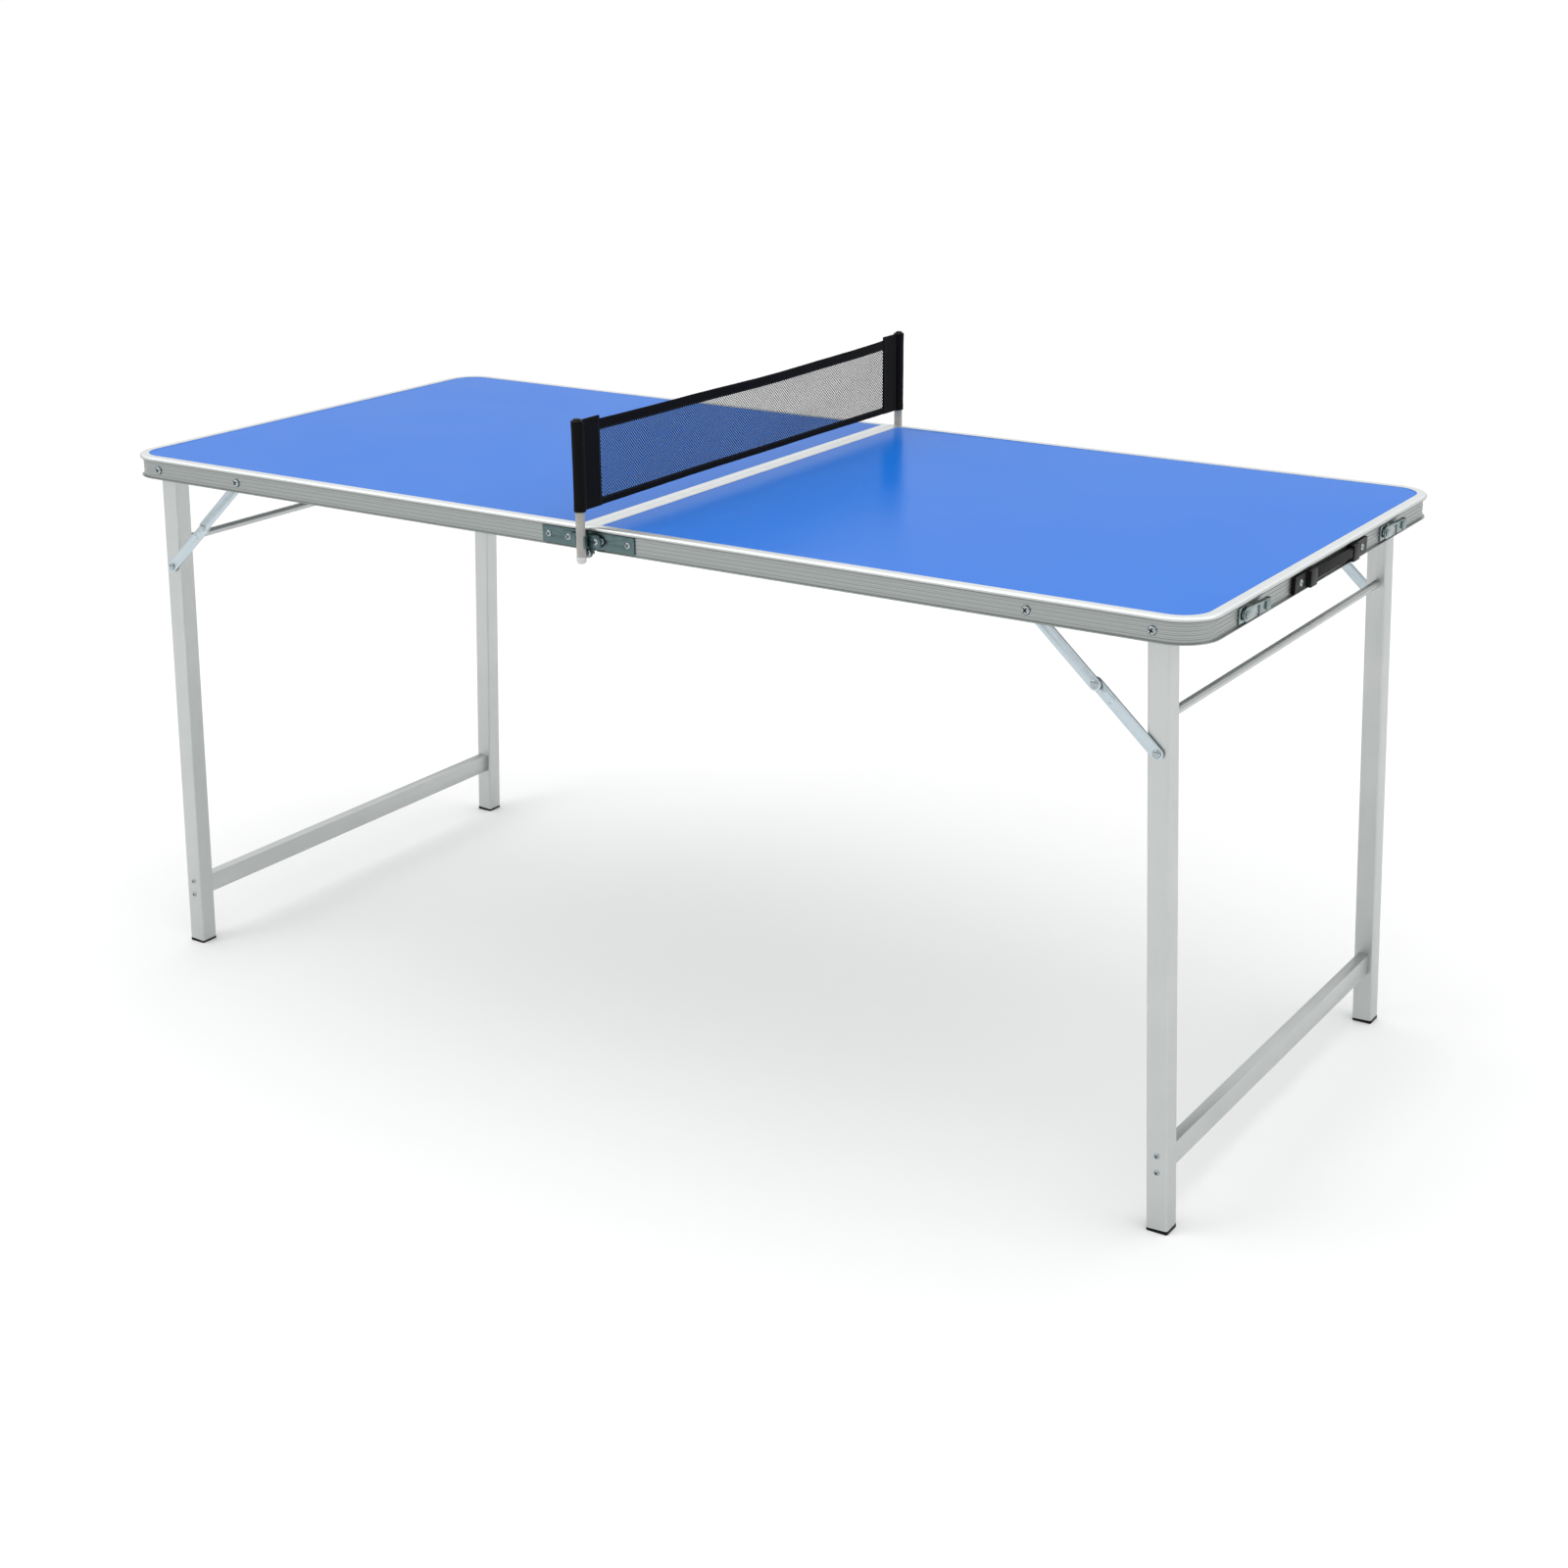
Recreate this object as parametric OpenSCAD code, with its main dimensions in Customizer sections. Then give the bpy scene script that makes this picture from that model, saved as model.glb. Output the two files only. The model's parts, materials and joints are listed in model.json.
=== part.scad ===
// Folding junior table-tennis table: two framed boards hinged at the middle,
// two folding leg frames with knee braces, clip-on net, latches and handle.
// Millimetres. X runs along the table, Y across it, Z up, origin on the floor.

/* [Table] */
// Length over the rounded noses of the edge rails
table_l = 1525; // [1200:5:1900]
// Width over the rounded noses of the edge rails
table_w = 690; // [520:5:900]
// Height of the top of the rails above the floor
table_h = 698; // [520:1:800]
// Outer radius of the four rounded corners
corner_r = 46; // [35:1:90]

/* [Edge rail] */
// Height of the rail section
rail_h = 28.5; // [26:0.5:40]
// Width of the flat lip over the board
lip_w = 12; // [9:0.5:15]
// Thickness of the lip over the board
lip_t = 1; // [0.8:0.1:2]
// Radius of the rounded nose
nose_r = 3; // [2.5:0.1:4]
// Depth of the web behind the nose
web_in = 4.5; // [3.5:0.1:5]
// Thickness of the web
web_t = 1.5; // [1.2:0.1:3]
// Thickness of the board
board_t = 3; // [2:0.5:5]
// Thickness of the shelf and of the bottom flange
flange_t = 1.2; // [1:0.1:2.5]
// Reach of the shelf under the board, from the nose
shelf_reach = 16; // [12:0.5:18]
// Reach of the bottom flange, from the nose
flange_reach = 10; // [8:0.5:10]
// How far the bottom flange stays behind the nose
flange_in = 1; // [0.5:0.1:2]
// Height by which each flute ridge stands off the web
flute_h = 0.5; // [0.2:0.1:0.8]
// Width of each flute ridge
flute_w = 1.4; // [0.8:0.1:2.5]
// Number of flute ridges
flute_n = 4; // [1:1:6]
// Width of the lip of the rail at the middle seam
seam_lip_w = 13; // [10:0.5:20]

/* [Legs] */
// Side of the square leg tube
leg_w = 25; // [20:1:30]
// Wall of the leg tube
leg_wall = 1.6; // [1:0.1:3]
// Radius of the tube's outer corners
leg_edge_r = 2.5; // [1:0.1:4]
// Outward lean of the open legs, in degrees
leg_splay = 2.7; // [0:0.1:4]
// Distance of the leg pivots from the end of the table
leg_inset = 57; // [40:1:90]
// Distance of the legs' outer faces from the side of the table
leg_side = 19.5; // [19:0.5:32.5]
// Height of the plug under each leg
foot_h = 5; // [3:0.5:15]
// Height of the lower crossbar section
low_bar_h = 26; // [18:1:40]
// Thickness of the lower crossbar
low_bar_t = 14; // [8:1:20]
// Height of the lower crossbar's centre above the floor
low_bar_z = 82; // [50:1:200]
// Diameter of the upper crossbar
high_bar_d = 10; // [8:0.5:16]
// Distance of the upper crossbar below the leg pivots
high_bar_drop = 99; // [60:1:115]

/* [Braces] */
// Distance from leg pivot to brace pivot along the rail
brace_x = 141; // [120:1:170]
// Distance from leg pivot to brace pivot along the leg
brace_z = 133; // [110:1:160]
// Width of the brace strips
brace_w = 14; // [10:0.5:18]
// Thickness of the brace strips
brace_t = 2; // [1.5:0.1:2]

/* [Fasteners] */
// Radius of the bolt shafts
bolt_r = 3; // [2:0.1:4]
// Radius of the bolt heads
bolt_head_r = 5.2; // [4.5:0.1:7]
// Height of the bolt heads
bolt_head_h = 2.6; // [1.5:0.1:4]
// Radius of the small screw heads
screw_head_r = 4; // [3:0.1:5]
// Height of the small screw heads
screw_head_h = 1.6; // [1:0.1:3]

/* [Seam hinge] */
// Length of each hinge plate from the seam
plate_l = 66; // [50:1:90]
// Height of the hinge plates
plate_h = 19.5; // [16:0.5:20]
// Thickness of the hinge plates
plate_t = 1.5; // [1.2:0.1:1.8]
// Distance of the hinge axis below the rails
axis_drop = 3.2; // [3:0.1:6]
// Radius of the hinge pin
pin_r = 2.2; // [1.8:0.1:2.6]
// Radius of the round lobes about the hinge pin
lobe_r = 6; // [5:0.1:7]

/* [Net] */
// Height of the net's lower edge above the table
net_gap = 19; // [8:1:30]
// Height of the net from lower to upper edge
net_h = 100; // [80:1:160]
// Extra height of the sleeves above the net
sleeve_rise = 4; // [0:0.5:15]
// Distance of the posts' inner faces outside the table's side
post_out = 4.5; // [4:0.1:14.5]
// Radius of the net posts
post_r = 5.5; // [4:0.1:8]
// Width of each sleeve with its hem
sleeve_w = 46; // [30:1:70]
// Height of the top band
top_band_h = 13; // [8:0.5:30]
// Height of the bottom band
low_band_h = 9; // [5:0.5:30]
// Thickness of the mesh fabric
mesh_t = 0.8; // [0.6:0.1:1.5]
// Thickness of the folded bands
band_t = 2; // [1.5:0.1:4]

/* [Handle and latches] */
// Length of the handle over its end plates
handle_l = 214; // [170:1:260]
// Length of each handle end plate
handle_end_l = 52; // [40:1:60]
// Height of the handle end plates
handle_h = 18.6; // [16:0.2:19]
// Length of the latch hooks
hook_l = 50; // [36:1:56]
// Width of the latch hooks
hook_w = 15; // [10:0.5:16]
// Position of the nearer latch across the table
latch_y_near = -238; // [-260:1:-160]
// Position of the farther latch across the table
latch_y_far = 170; // [160:1:230]

/* [Hidden] */
// clearances
fit = 0.3;            // air between bodies that move past each other
run_fit = 0.06;       // radial clearance on a hinge pin
seam_gap = 0.2;       // half of the gap between the two boards
eps = 0.01;

half_l = table_l / 2;
half_w = table_w / 2;
rail_z = table_h - rail_h;
board_z1 = table_h - lip_t;
board_z0 = board_z1 - board_t;
web_out_y = half_w - web_in;
web_in_y = web_out_y - web_t;
flute_y = web_out_y + flute_h;
web_end_x = half_l - web_in;
flute_x = web_end_x + flute_h;
board_gap = 0.2;
edge_in = web_in + web_t;

// leg frame
leg_top_gap = 0.4;     // air between the board and the folded leg
leg_x = half_l - leg_inset;
leg_y = half_w - leg_side - leg_w / 2;
leg_front = leg_y + leg_w / 2;
leg_back = leg_y - leg_w / 2;
pivot_z = board_z0 - leg_top_gap - leg_w / 2;
bolt_hole_r = bolt_r + run_fit;
spacer_r = 6;
nut_h = 4;
nut_r = 5.5;
frame_screw_gap = low_bar_h - 6;
plug_in = 18;
tube_z0 = 3;           // lower end of the tube, before it leans
foot_w = leg_w + 0.4;
foot_in = 14;
bar_end = 20;          // solid plug in each end of a crossbar
screw_in = 10;

// brace layers, as distances from the middle of the table
knee_stub_h = 1;
low_link_y = leg_front + fit + knee_stub_h;
link_gap = 2.1;
high_link_y = low_link_y + brace_t + link_gap;
high_link_y1 = high_link_y + brace_t;
knee_head_h = 1.5;
rail_bolt_x = leg_x - brace_x;
leg_bolt_z = pivot_z - brace_z;                   // on the leg, before it leans
stay_x = leg_x + brace_z * sin(leg_splay);        // the same bolt with the leg open
stay_z = pivot_z - brace_z * cos(leg_splay);
brace_len = sqrt(pow(stay_x - rail_bolt_x, 2) + pow(pivot_z - stay_z, 2));
high_link_l = (brace_len + (brace_x - brace_z)) / 2;
low_link_l = brace_len - high_link_l;
brace_a = atan2(pivot_z - stay_z, stay_x - rail_bolt_x);
stay_r = 4.5;
dimple_r = 3;
dimple_h = 0.8;
dimple_gap = 12;       // from the knee to the locking dimple
stop_gap = 25;         // from the knee to the two small stops
stop_h = 0.6;
stop_r = 1.1;
stop_off = 3.4;

// hinge
axis_z = rail_z - axis_drop;
plate_z = rail_z + 2.5;
plate_y0 = flute_y;
plate_y1 = plate_y0 + plate_t;
lobe_y0 = plate_y1 + fit;
lobe_y1 = lobe_y0 + plate_t;
tongue_y0 = half_w + 0.4;
tongue_y1 = tongue_y0 + plate_t;
tongue_x = 23;
tongue_h = 16;
tongue_root = -12;     // where the tongue leaves the fixed plate
tongue_web = 4;
tongue_z = plate_z + plate_h / 2;
notch_x = 14;
notch_h = 3.5;
plate_screw_edge = 9;  // from a plate's end to its outer screw
left_screws = [27, plate_l - plate_screw_edge];
right_screws = [19, plate_l - plate_screw_edge];
screw_r = 1.5;
strap_x0 = -34;        // free end of the clip strap on the fixed plate
strap_bend = -21;      // where the strap steps out to the tongue
strap_h = 14;
strap_foot = 3;
rivet_x = tongue_x - tongue_h / 2;

// net
post_y = half_w + post_out + post_r;
clip_t = 1.2;
clip_in_r = post_r + 0.7;
clip_mouth_y = 2.2;    // the ring is open beyond this
clip_cut = 20;         // more than the ring's reach
net_z0 = table_h + net_gap;
net_z1 = net_z0 + net_h;
sleeve_z1 = net_z1 + sleeve_rise;
sleeve_r = post_r + 1.5;
hem_y = post_y + sleeve_r - sleeve_w;
post_z0 = axis_z - 2;
foot_knob_h = 8;
foot_knob_r = post_r + 0.5;
cap_h = 2.5;

// handle
end_face_x = flute_x;
handle_z = rail_z + 2.2 + handle_h / 2;
handle_plate_t = 4;
housing_l = 18;
handle_screw_in = 16;
housing_t = 8.5;
bail_z = handle_z + 4.5;
bail_x = end_face_x + 4.7;
bail_r = 2;
bail_half = handle_l / 2 - handle_end_l;
grip_h = 11;
grip_t = 6;
grip_gap = 0.4;
ridge_n = 3;           // long ridges on the grip's face
ridge_pitch = 2.6;
ridge_h = 1.2;
ridge_t = 0.8;
ridge_z0 = 0.8;
ridge_end = 6;
grip_back = 3.2;       // the grip's top above the bail's axis

// latches
latch_z = rail_z + 11.5;
hook_x = half_l - 0.5;
hook_t = 1.5;
latch_base_t = 1.5;
latch_pin_r = 2.5;
latch_boss_r = 5.5;
base_l = 24;
catch_drop = 2 * (latch_z - axis_z);
hook_slot = 3.4;
hook_roll_r = 3;
stud_r = 2.6;
latch_head_r = 4.5;
latch_head_h = 1.6;
catch_plate = 16;
stud_gap = 0.5;        // from the swung hook to the stud's head

alloy = [0.78, 0.80, 0.80];
zinc = [0.62, 0.68, 0.69];
steel = [0.80, 0.82, 0.84];
blue = [0.08, 0.30, 0.80];
black = [0.04, 0.04, 0.045];
clear_grey = [0.75, 0.76, 0.76];

// ---- helpers ---------------------------------------------------------------
module both_sides() { children(); mirror([0, 1, 0]) children(); }

// a cylinder running outwards along +Y from y0 to y1
module rod_y(x, z, r, y0, y1) {
  translate([x, y0, z]) rotate([-90, 0, 0]) cylinder(h = y1 - y0, r = r);
}

// a cylinder running along +X from x0 to x1
module rod_x(y, z, r, x0, x1) {
  translate([x0, y, z]) rotate([0, 90, 0]) cylinder(h = x1 - x0, r = r);
}

// a domed bolt head on the face y, pointing outwards
module head_y(x, z, r, h, y) {
  rim = h * 0.45;
  rod_y(x, z, r, y, y + rim);
  translate([x, y + rim, z]) rotate([-90, 0, 0]) cylinder(h = h - rim, r1 = r, r2 = r * 0.6);
}

module head_x(y, z, r, h, x) {
  rim = h * 0.45;
  rod_x(y, z, r, x, x + rim);
  translate([x + rim, y, z]) rotate([0, 90, 0]) cylinder(h = h - rim, r1 = r, r2 = r * 0.6);
}

// ---- rails and boards (drawn for the right half) ---------------------------
module rail_section() {
  translate([-nose_r, -nose_r]) circle(r = nose_r);
  translate([-lip_w, -lip_t]) square([lip_w - nose_r, lip_t]);
  translate([-edge_in, -rail_h]) square([web_t, rail_h - lip_t / 2]);
  translate([-shelf_reach, -lip_t - board_t - flange_t])
    square([shelf_reach - web_in - web_t / 2, flange_t]);
  translate([-flange_reach, -rail_h]) square([flange_reach - flange_in - flange_t / 2, flange_t]);
  translate([-flange_in - flange_t / 2, -rail_h + flange_t / 2]) circle(r = flange_t / 2);
  pitch = (rail_h - 2 * nose_r - flange_t - 3) / flute_n;
  for (i = [0 : flute_n - 1])
    translate([-web_in - eps, -2 * nose_r - 2 - i * pitch - flute_w])
      square([flute_h + eps, flute_w]);
}

module side_run() {
  translate([seam_gap, half_w, table_h]) rotate([90, 0, 90])
    linear_extrude(half_l - corner_r - seam_gap) rail_section();
  translate([half_l - corner_r, half_w - corner_r, table_h])
    rotate_extrude(angle = 90) translate([corner_r, 0]) rail_section();
}

module half_edge_rail(screws) {
  difference() {
    union() {
      both_sides() side_run();
      translate([half_l, half_w - corner_r, table_h]) rotate([90, 0, 0])
        linear_extrude(table_w - 2 * corner_r) rail_section();
    }
    // room for the seam rail between the lips, and for the hinge lobes
    translate([-1, -half_w + lip_w, rail_z - 1])
      cube([seam_gap + seam_lip_w + 1 + fit, table_w - 2 * lip_w, rail_h + 2]);
    both_sides() {
      translate([-1, web_out_y, rail_z - 1]) cube([notch_x + 1, web_in + 1, notch_h]);
      rod_y(leg_x, pivot_z, bolt_r, web_in_y - 1, flute_y + 1);
      rod_y(rail_bolt_x, pivot_z, bolt_r, web_in_y - 1, flute_y + 1);
      for (x = screws) rod_y(x, tongue_z, screw_r, web_in_y - 1, flute_y + 1);
    }
  }
}

module half_seam_rail() {
  l = table_w - 2 * lip_w;
  translate([seam_gap, l / 2, table_h]) rotate([90, 0, 0]) linear_extrude(l) {
    difference() {
      translate([0, -lip_t]) square([seam_lip_w, lip_t]);
      translate([-eps, -0.4 + eps]) square([0.4, 0.4]);
    }
    translate([0, -rail_h]) square([web_t, rail_h - lip_t / 2]);
    translate([0, -lip_t - board_t - flange_t]) square([seam_lip_w, flange_t]);
    translate([0, -rail_h]) square([flange_reach, flange_t]);
  }
}

module half_board() {
  r = corner_r - edge_in - board_gap;
  x0 = seam_gap + web_t + board_gap;
  x1 = half_l - edge_in - board_gap;
  y1 = half_w - edge_in - board_gap;
  translate([0, 0, board_z0]) linear_extrude(board_t) {
    translate([x0, -y1]) square([x1 - r - x0, 2 * y1]);
    translate([x1 - r - eps, -y1 + r]) square([r + eps, 2 * (y1 - r)]);
    for (s = [-1, 1]) translate([x1 - r, s * (y1 - r)]) circle(r = r);
  }
}

// ---- hinge, clips ----------------------------------------------------------
module plate_block(x0, x1, y0, y1, z0, z1) {
  translate([x0, y0, z0]) cube([x1 - x0, y1 - y0, z1 - z0]);
}

module left_plate_one() {
  difference() {
    union() {
      plate_block(-plate_l, -1, plate_y0, plate_y1, plate_z, plate_z + plate_h);
      rod_y(0, axis_z, lobe_r, plate_y0, plate_y1);
      plate_block(-lobe_r, 0, plate_y0, plate_y1, axis_z, plate_z + 1);
      // tongue that stands clear of the other plate
      plate_block(tongue_root, tongue_root + tongue_web, plate_y0, tongue_y1,
        tongue_z - tongue_h / 2, tongue_z + tongue_h / 2);
      plate_block(tongue_root, rivet_x, tongue_y0, tongue_y1,
        tongue_z - tongue_h / 2, tongue_z + tongue_h / 2);
      rod_y(rivet_x, tongue_z, tongue_h / 2, tongue_y0, tongue_y1);
    }
    rod_y(0, axis_z, pin_r, plate_y0 - 1, plate_y1 + 1);
    // the other half swings through here
    plate_block(-1 + fit, 40, plate_y0 - 1, plate_y1 + 1, rail_z - fit, table_h);
    rod_y(rivet_x, tongue_z, screw_r, tongue_y0 - 1, tongue_y1 + 1);
    for (x = left_screws) rod_y(-x, tongue_z, screw_r, plate_y0 - 1, plate_y1 + 1);
  }
}

module right_plate_one() {
  difference() {
    union() {
      plate_block(1.5, plate_l, plate_y0, plate_y1, plate_z, plate_z + plate_h);
      plate_block(3, 10, plate_y0, lobe_y1, plate_z, plate_z + 4);
      plate_block(0, 10, lobe_y0, lobe_y1, axis_z, plate_z + 4);
      rod_y(0, axis_z, lobe_r, lobe_y0, lobe_y1);
    }
    rod_y(0, axis_z, pin_r + run_fit, lobe_y0 - 1, lobe_y1 + 1);
    // clears the tongue and the seam above the axis, and the fixed plate's lobe
    plate_block(-10, 0, lobe_y0 - 1, lobe_y1 + 1, axis_z + lobe_r, table_h);
    rod_y(0, axis_z, lobe_r + fit, plate_y0 - 1, plate_y1 + fit);
    for (x = right_screws) rod_y(x, tongue_z, screw_r, plate_y0 - 1, plate_y1 + 1);
  }
}

module hinge_pin_one() {
  rod_y(0, axis_z, pin_r, plate_y0, lobe_y1 + fit);
  head_y(0, axis_z, lobe_r - 0.4, 2.2, lobe_y1 + fit);
}

module clip_one() {
  z0 = tongue_z - strap_h / 2;
  z1 = tongue_z + strap_h / 2;
  difference() {
    union() {
      plate_block(strap_bend, rivet_x, tongue_y1, tongue_y1 + clip_t, z0, z1);
      rod_y(rivet_x, tongue_z, strap_h / 2, tongue_y1, tongue_y1 + clip_t);
      // foot of the strap back to the fixed plate
      plate_block(strap_bend, strap_bend + strap_foot, plate_y1, tongue_y1 + clip_t, z0, z1);
      plate_block(strap_x0, strap_bend + strap_foot, plate_y1, plate_y1 + clip_t, z0, z1);
      translate([0, post_y, z0]) cylinder(h = strap_h, r = clip_in_r + clip_t);
    }
    translate([0, post_y, z0 - 1]) cylinder(h = strap_h + 2, r = clip_in_r);
    plate_block(-clip_cut, clip_cut, post_y + clip_mouth_y, post_y + clip_cut, z0 - 1, z1 + 1);
    rod_y(rivet_x, tongue_z, screw_r, tongue_y1 - 1, tongue_y1 + clip_t + 1);
    rod_y(-left_screws[0], tongue_z, screw_r, plate_y1 - 1, plate_y1 + clip_t + 1);
  }
}

// ---- leg frame (drawn upright for the right half, +Y side, then leant) ------
module leant() {
  translate([leg_x, 0, pivot_z]) rotate([0, -leg_splay, 0]) translate([-leg_x, 0, -pivot_z]) children();
}

module round_square(side, r) {
  square([side - 2 * r, side], center = true);
  square([side, side - 2 * r], center = true);
  for (sx = [-1, 1], sy = [-1, 1]) translate([sx, sy] * (side / 2 - r)) circle(r = r);
}

module leg_one() {
  inner = leg_w - 2 * leg_wall;
  difference() {
    union() {
      translate([leg_x, leg_y, tube_z0]) linear_extrude(pivot_z - tube_z0) round_square(leg_w, leg_edge_r);
      rod_y(leg_x, pivot_z, leg_w / 2, leg_back, leg_front);
    }
    translate([leg_x - inner / 2, leg_y - inner / 2, 0]) cube([inner, inner, pivot_z]);
    translate([leg_x - leg_w, leg_y - inner / 2, pivot_z]) cube([2 * leg_w, inner, leg_w]);
    rod_y(leg_x, pivot_z, bolt_hole_r, leg_back - 1, leg_front + 1);
    rod_y(leg_x, leg_bolt_z, bolt_r, leg_front - leg_wall - 1, leg_front + 1);
    rod_y(leg_x, pivot_z - high_bar_drop, high_bar_d / 2, leg_back - 1, leg_back + leg_wall + 1);
    for (s = [-1, 1])
      rod_y(leg_x, low_bar_z + s * frame_screw_gap / 2, screw_r, leg_back - 1, leg_front + 1);
  }
}

module leg_plug_one() {
  inner = leg_w - 2 * leg_wall;
  difference() {
    union() {
      translate([leg_x - inner / 2, leg_y - inner / 2, pivot_z - plug_in]) cube([inner, inner, plug_in]);
      intersection() {
        rod_y(leg_x, pivot_z, leg_w / 2, leg_y - inner / 2, leg_y + inner / 2);
        translate([leg_x - leg_w, leg_back, pivot_z]) cube([2 * leg_w, leg_w, leg_w]);
      }
    }
    rod_y(leg_x, pivot_z, bolt_hole_r, leg_back, leg_front);
  }
}

// the plug's sole is cut level with the floor
module foot_one() {
  inner = leg_w - 2 * leg_wall;
  difference() {
    leant() {
      translate([leg_x, leg_y, tube_z0 - foot_h]) linear_extrude(foot_h) round_square(foot_w, leg_edge_r);
      translate([leg_x - inner / 2, leg_y - inner / 2, tube_z0 - eps]) cube([inner, inner, foot_in]);
    }
    translate([leg_x - 2 * leg_w, leg_back - leg_w, -2 * leg_w]) cube([6 * leg_w, 3 * leg_w, 2 * leg_w]);
  }
}

module low_bar() {
  l = 2 * leg_back;
  x0 = leg_x - low_bar_t / 2;
  z0 = low_bar_z - low_bar_h / 2;
  difference() {
    translate([x0, -l / 2, z0]) cube([low_bar_t, l, low_bar_h]);
    translate([x0 + leg_wall, bar_end - l / 2, z0 + leg_wall])
      cube([low_bar_t - 2 * leg_wall, l - 2 * bar_end, low_bar_h - 2 * leg_wall]);
    both_sides() for (s = [-1, 1])
      rod_y(leg_x, low_bar_z + s * frame_screw_gap / 2, screw_r, leg_back - screw_in, leg_back + 1);
  }
}

module high_bar() {
  l = leg_back + leg_wall;
  difference() {
    rod_y(leg_x, pivot_z - high_bar_drop, high_bar_d / 2, -l, l);
    rod_y(leg_x, pivot_z - high_bar_drop, high_bar_d / 2 - 1, -l + bar_end, l - bar_end);
  }
}

module bar_screw_pair() {
  for (s = [-1, 1]) {
    z = low_bar_z + s * frame_screw_gap / 2;
    rod_y(leg_x, z, screw_r, leg_back - screw_in, leg_front);
    head_y(leg_x, z, screw_head_r - 0.6, screw_head_h, leg_front);
  }
}

// bolts fixed to the half: leg pivot with its nut, and brace pivot
module frame_bolt_pair() {
  rod_y(leg_x, pivot_z, bolt_r, leg_back - fit - nut_h, flute_y);
  head_y(leg_x, pivot_z, bolt_head_r, bolt_head_h, flute_y);
  rod_y(leg_x, pivot_z, nut_r, leg_back - fit - nut_h, leg_back - fit);
  rod_y(rail_bolt_x, pivot_z, bolt_r, high_link_y, flute_y);
  head_y(rail_bolt_x, pivot_z, bolt_head_r, bolt_head_h, flute_y);
}

module spacer_pair() {
  difference() {
    union() {
      rod_y(leg_x, pivot_z, spacer_r, leg_front + fit, web_in_y);
      rod_y(rail_bolt_x, pivot_z, spacer_r - 1, high_link_y1 + fit, web_in_y);
    }
    rod_y(leg_x, pivot_z, bolt_r, leg_front - 1, web_in_y + 1);
    rod_y(rail_bolt_x, pivot_z, bolt_r, leg_front - 1, web_in_y + 1);
  }
}

// a strip between two points of the XZ plane with rounded ends
module strip(x0, z0, len, ang, y0, y1, w) {
  translate([x0, y0, z0]) rotate([0, ang, 0]) {
    translate([0, 0, -w / 2]) cube([len, y1 - y0, w]);
    for (d = [0, len]) translate([d, 0, 0]) rotate([-90, 0, 0]) cylinder(h = y1 - y0, r = w / 2);
  }
}

module high_link() {
  kx = rail_bolt_x + high_link_l * cos(brace_a);
  kz = pivot_z - high_link_l * sin(brace_a);
  difference() {
    strip(rail_bolt_x, pivot_z, high_link_l, brace_a, high_link_y, high_link_y1, brace_w);
    rod_y(rail_bolt_x, pivot_z, bolt_hole_r, high_link_y - 1, high_link_y1 + 1);
  }
  head_y(kx, kz, stay_r + 0.3, knee_head_h, high_link_y1);
  // half of the knee rivet, clear of the dimple that passes under it
  rod_y(kx, kz, stay_r, low_link_y + brace_t + dimple_h + fit, high_link_y);
}

module low_link() {
  dx = cos(brace_a);
  dz = -sin(brace_a);
  kx = stay_x - low_link_l * dx;
  kz = stay_z - low_link_l * dz;
  face = low_link_y + brace_t;
  difference() {
    strip(kx, kz, low_link_l, brace_a, low_link_y, face, brace_w);
    rod_y(stay_x, stay_z, bolt_hole_r, low_link_y - 1, face + 1);
  }
  rod_y(kx, kz, stay_r - 0.5, low_link_y - knee_stub_h, low_link_y);
  translate([kx + dimple_gap * dx, face - eps, kz + dimple_gap * dz]) rotate([-90, 0, 0])
    cylinder(h = dimple_h + eps, r1 = dimple_r, r2 = dimple_r * 0.6);
  for (s = [-1, 1])
    rod_y(kx + stop_gap * dx + s * stop_off * dz, kz + stop_gap * dz - s * stop_off * dx, stop_r,
      face - eps, face + stop_h);
}

// rivet fixed to the leg that carries the lower brace strip
module brace_pin_one() {
  difference() {
    rod_y(leg_x, leg_bolt_z, spacer_r, leg_front, low_link_y - fit / 2);
    rod_y(leg_x, leg_bolt_z, bolt_r - eps, leg_front - 1, low_link_y);
  }
  rod_y(leg_x, leg_bolt_z, bolt_r, leg_front - leg_wall, low_link_y + brace_t + fit / 2);
  head_y(leg_x, leg_bolt_z, bolt_head_r - 0.3, link_gap - 2 * fit + fit / 2,
    low_link_y + brace_t + fit / 2);
}

// ---- right end: handle and latches -----------------------------------------
module handle_end_one() {
  y1 = handle_l / 2;
  difference() {
    union() {
      translate([end_face_x, y1 - handle_end_l, handle_z - handle_h / 2])
        cube([handle_plate_t, handle_end_l, handle_h]);
      translate([end_face_x, y1 - handle_end_l, handle_z - handle_h / 2])
        cube([housing_t, housing_l, handle_h]);
    }
    rod_y(bail_x, bail_z, bail_r + run_fit, y1 - handle_end_l - 1, y1 - handle_end_l + 9);
    rod_x(y1 - handle_screw_in, handle_z, screw_r, end_face_x - 1, end_face_x + handle_plate_t + 1);
  }
}

module grip() {
  y1 = bail_half - grip_gap;
  top = bail_z + grip_back;
  translate([bail_x - grip_t / 2, -y1, top - grip_h]) cube([grip_t, 2 * y1, grip_h - grip_back]);
  rod_y(bail_x, bail_z, grip_t / 2, -y1, y1);
  for (s = [-1, 1])
    rod_y(bail_x, bail_z, bail_r, s > 0 ? y1 : -y1 - 8, s > 0 ? y1 + 8 : -y1);
  for (i = [0 : ridge_n - 1])
    translate([bail_x + grip_t / 2 - eps, -y1 + ridge_end, top - grip_h + ridge_z0 + i * ridge_pitch])
      cube([ridge_t, 2 * (y1 - ridge_end), ridge_h]);
}

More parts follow.
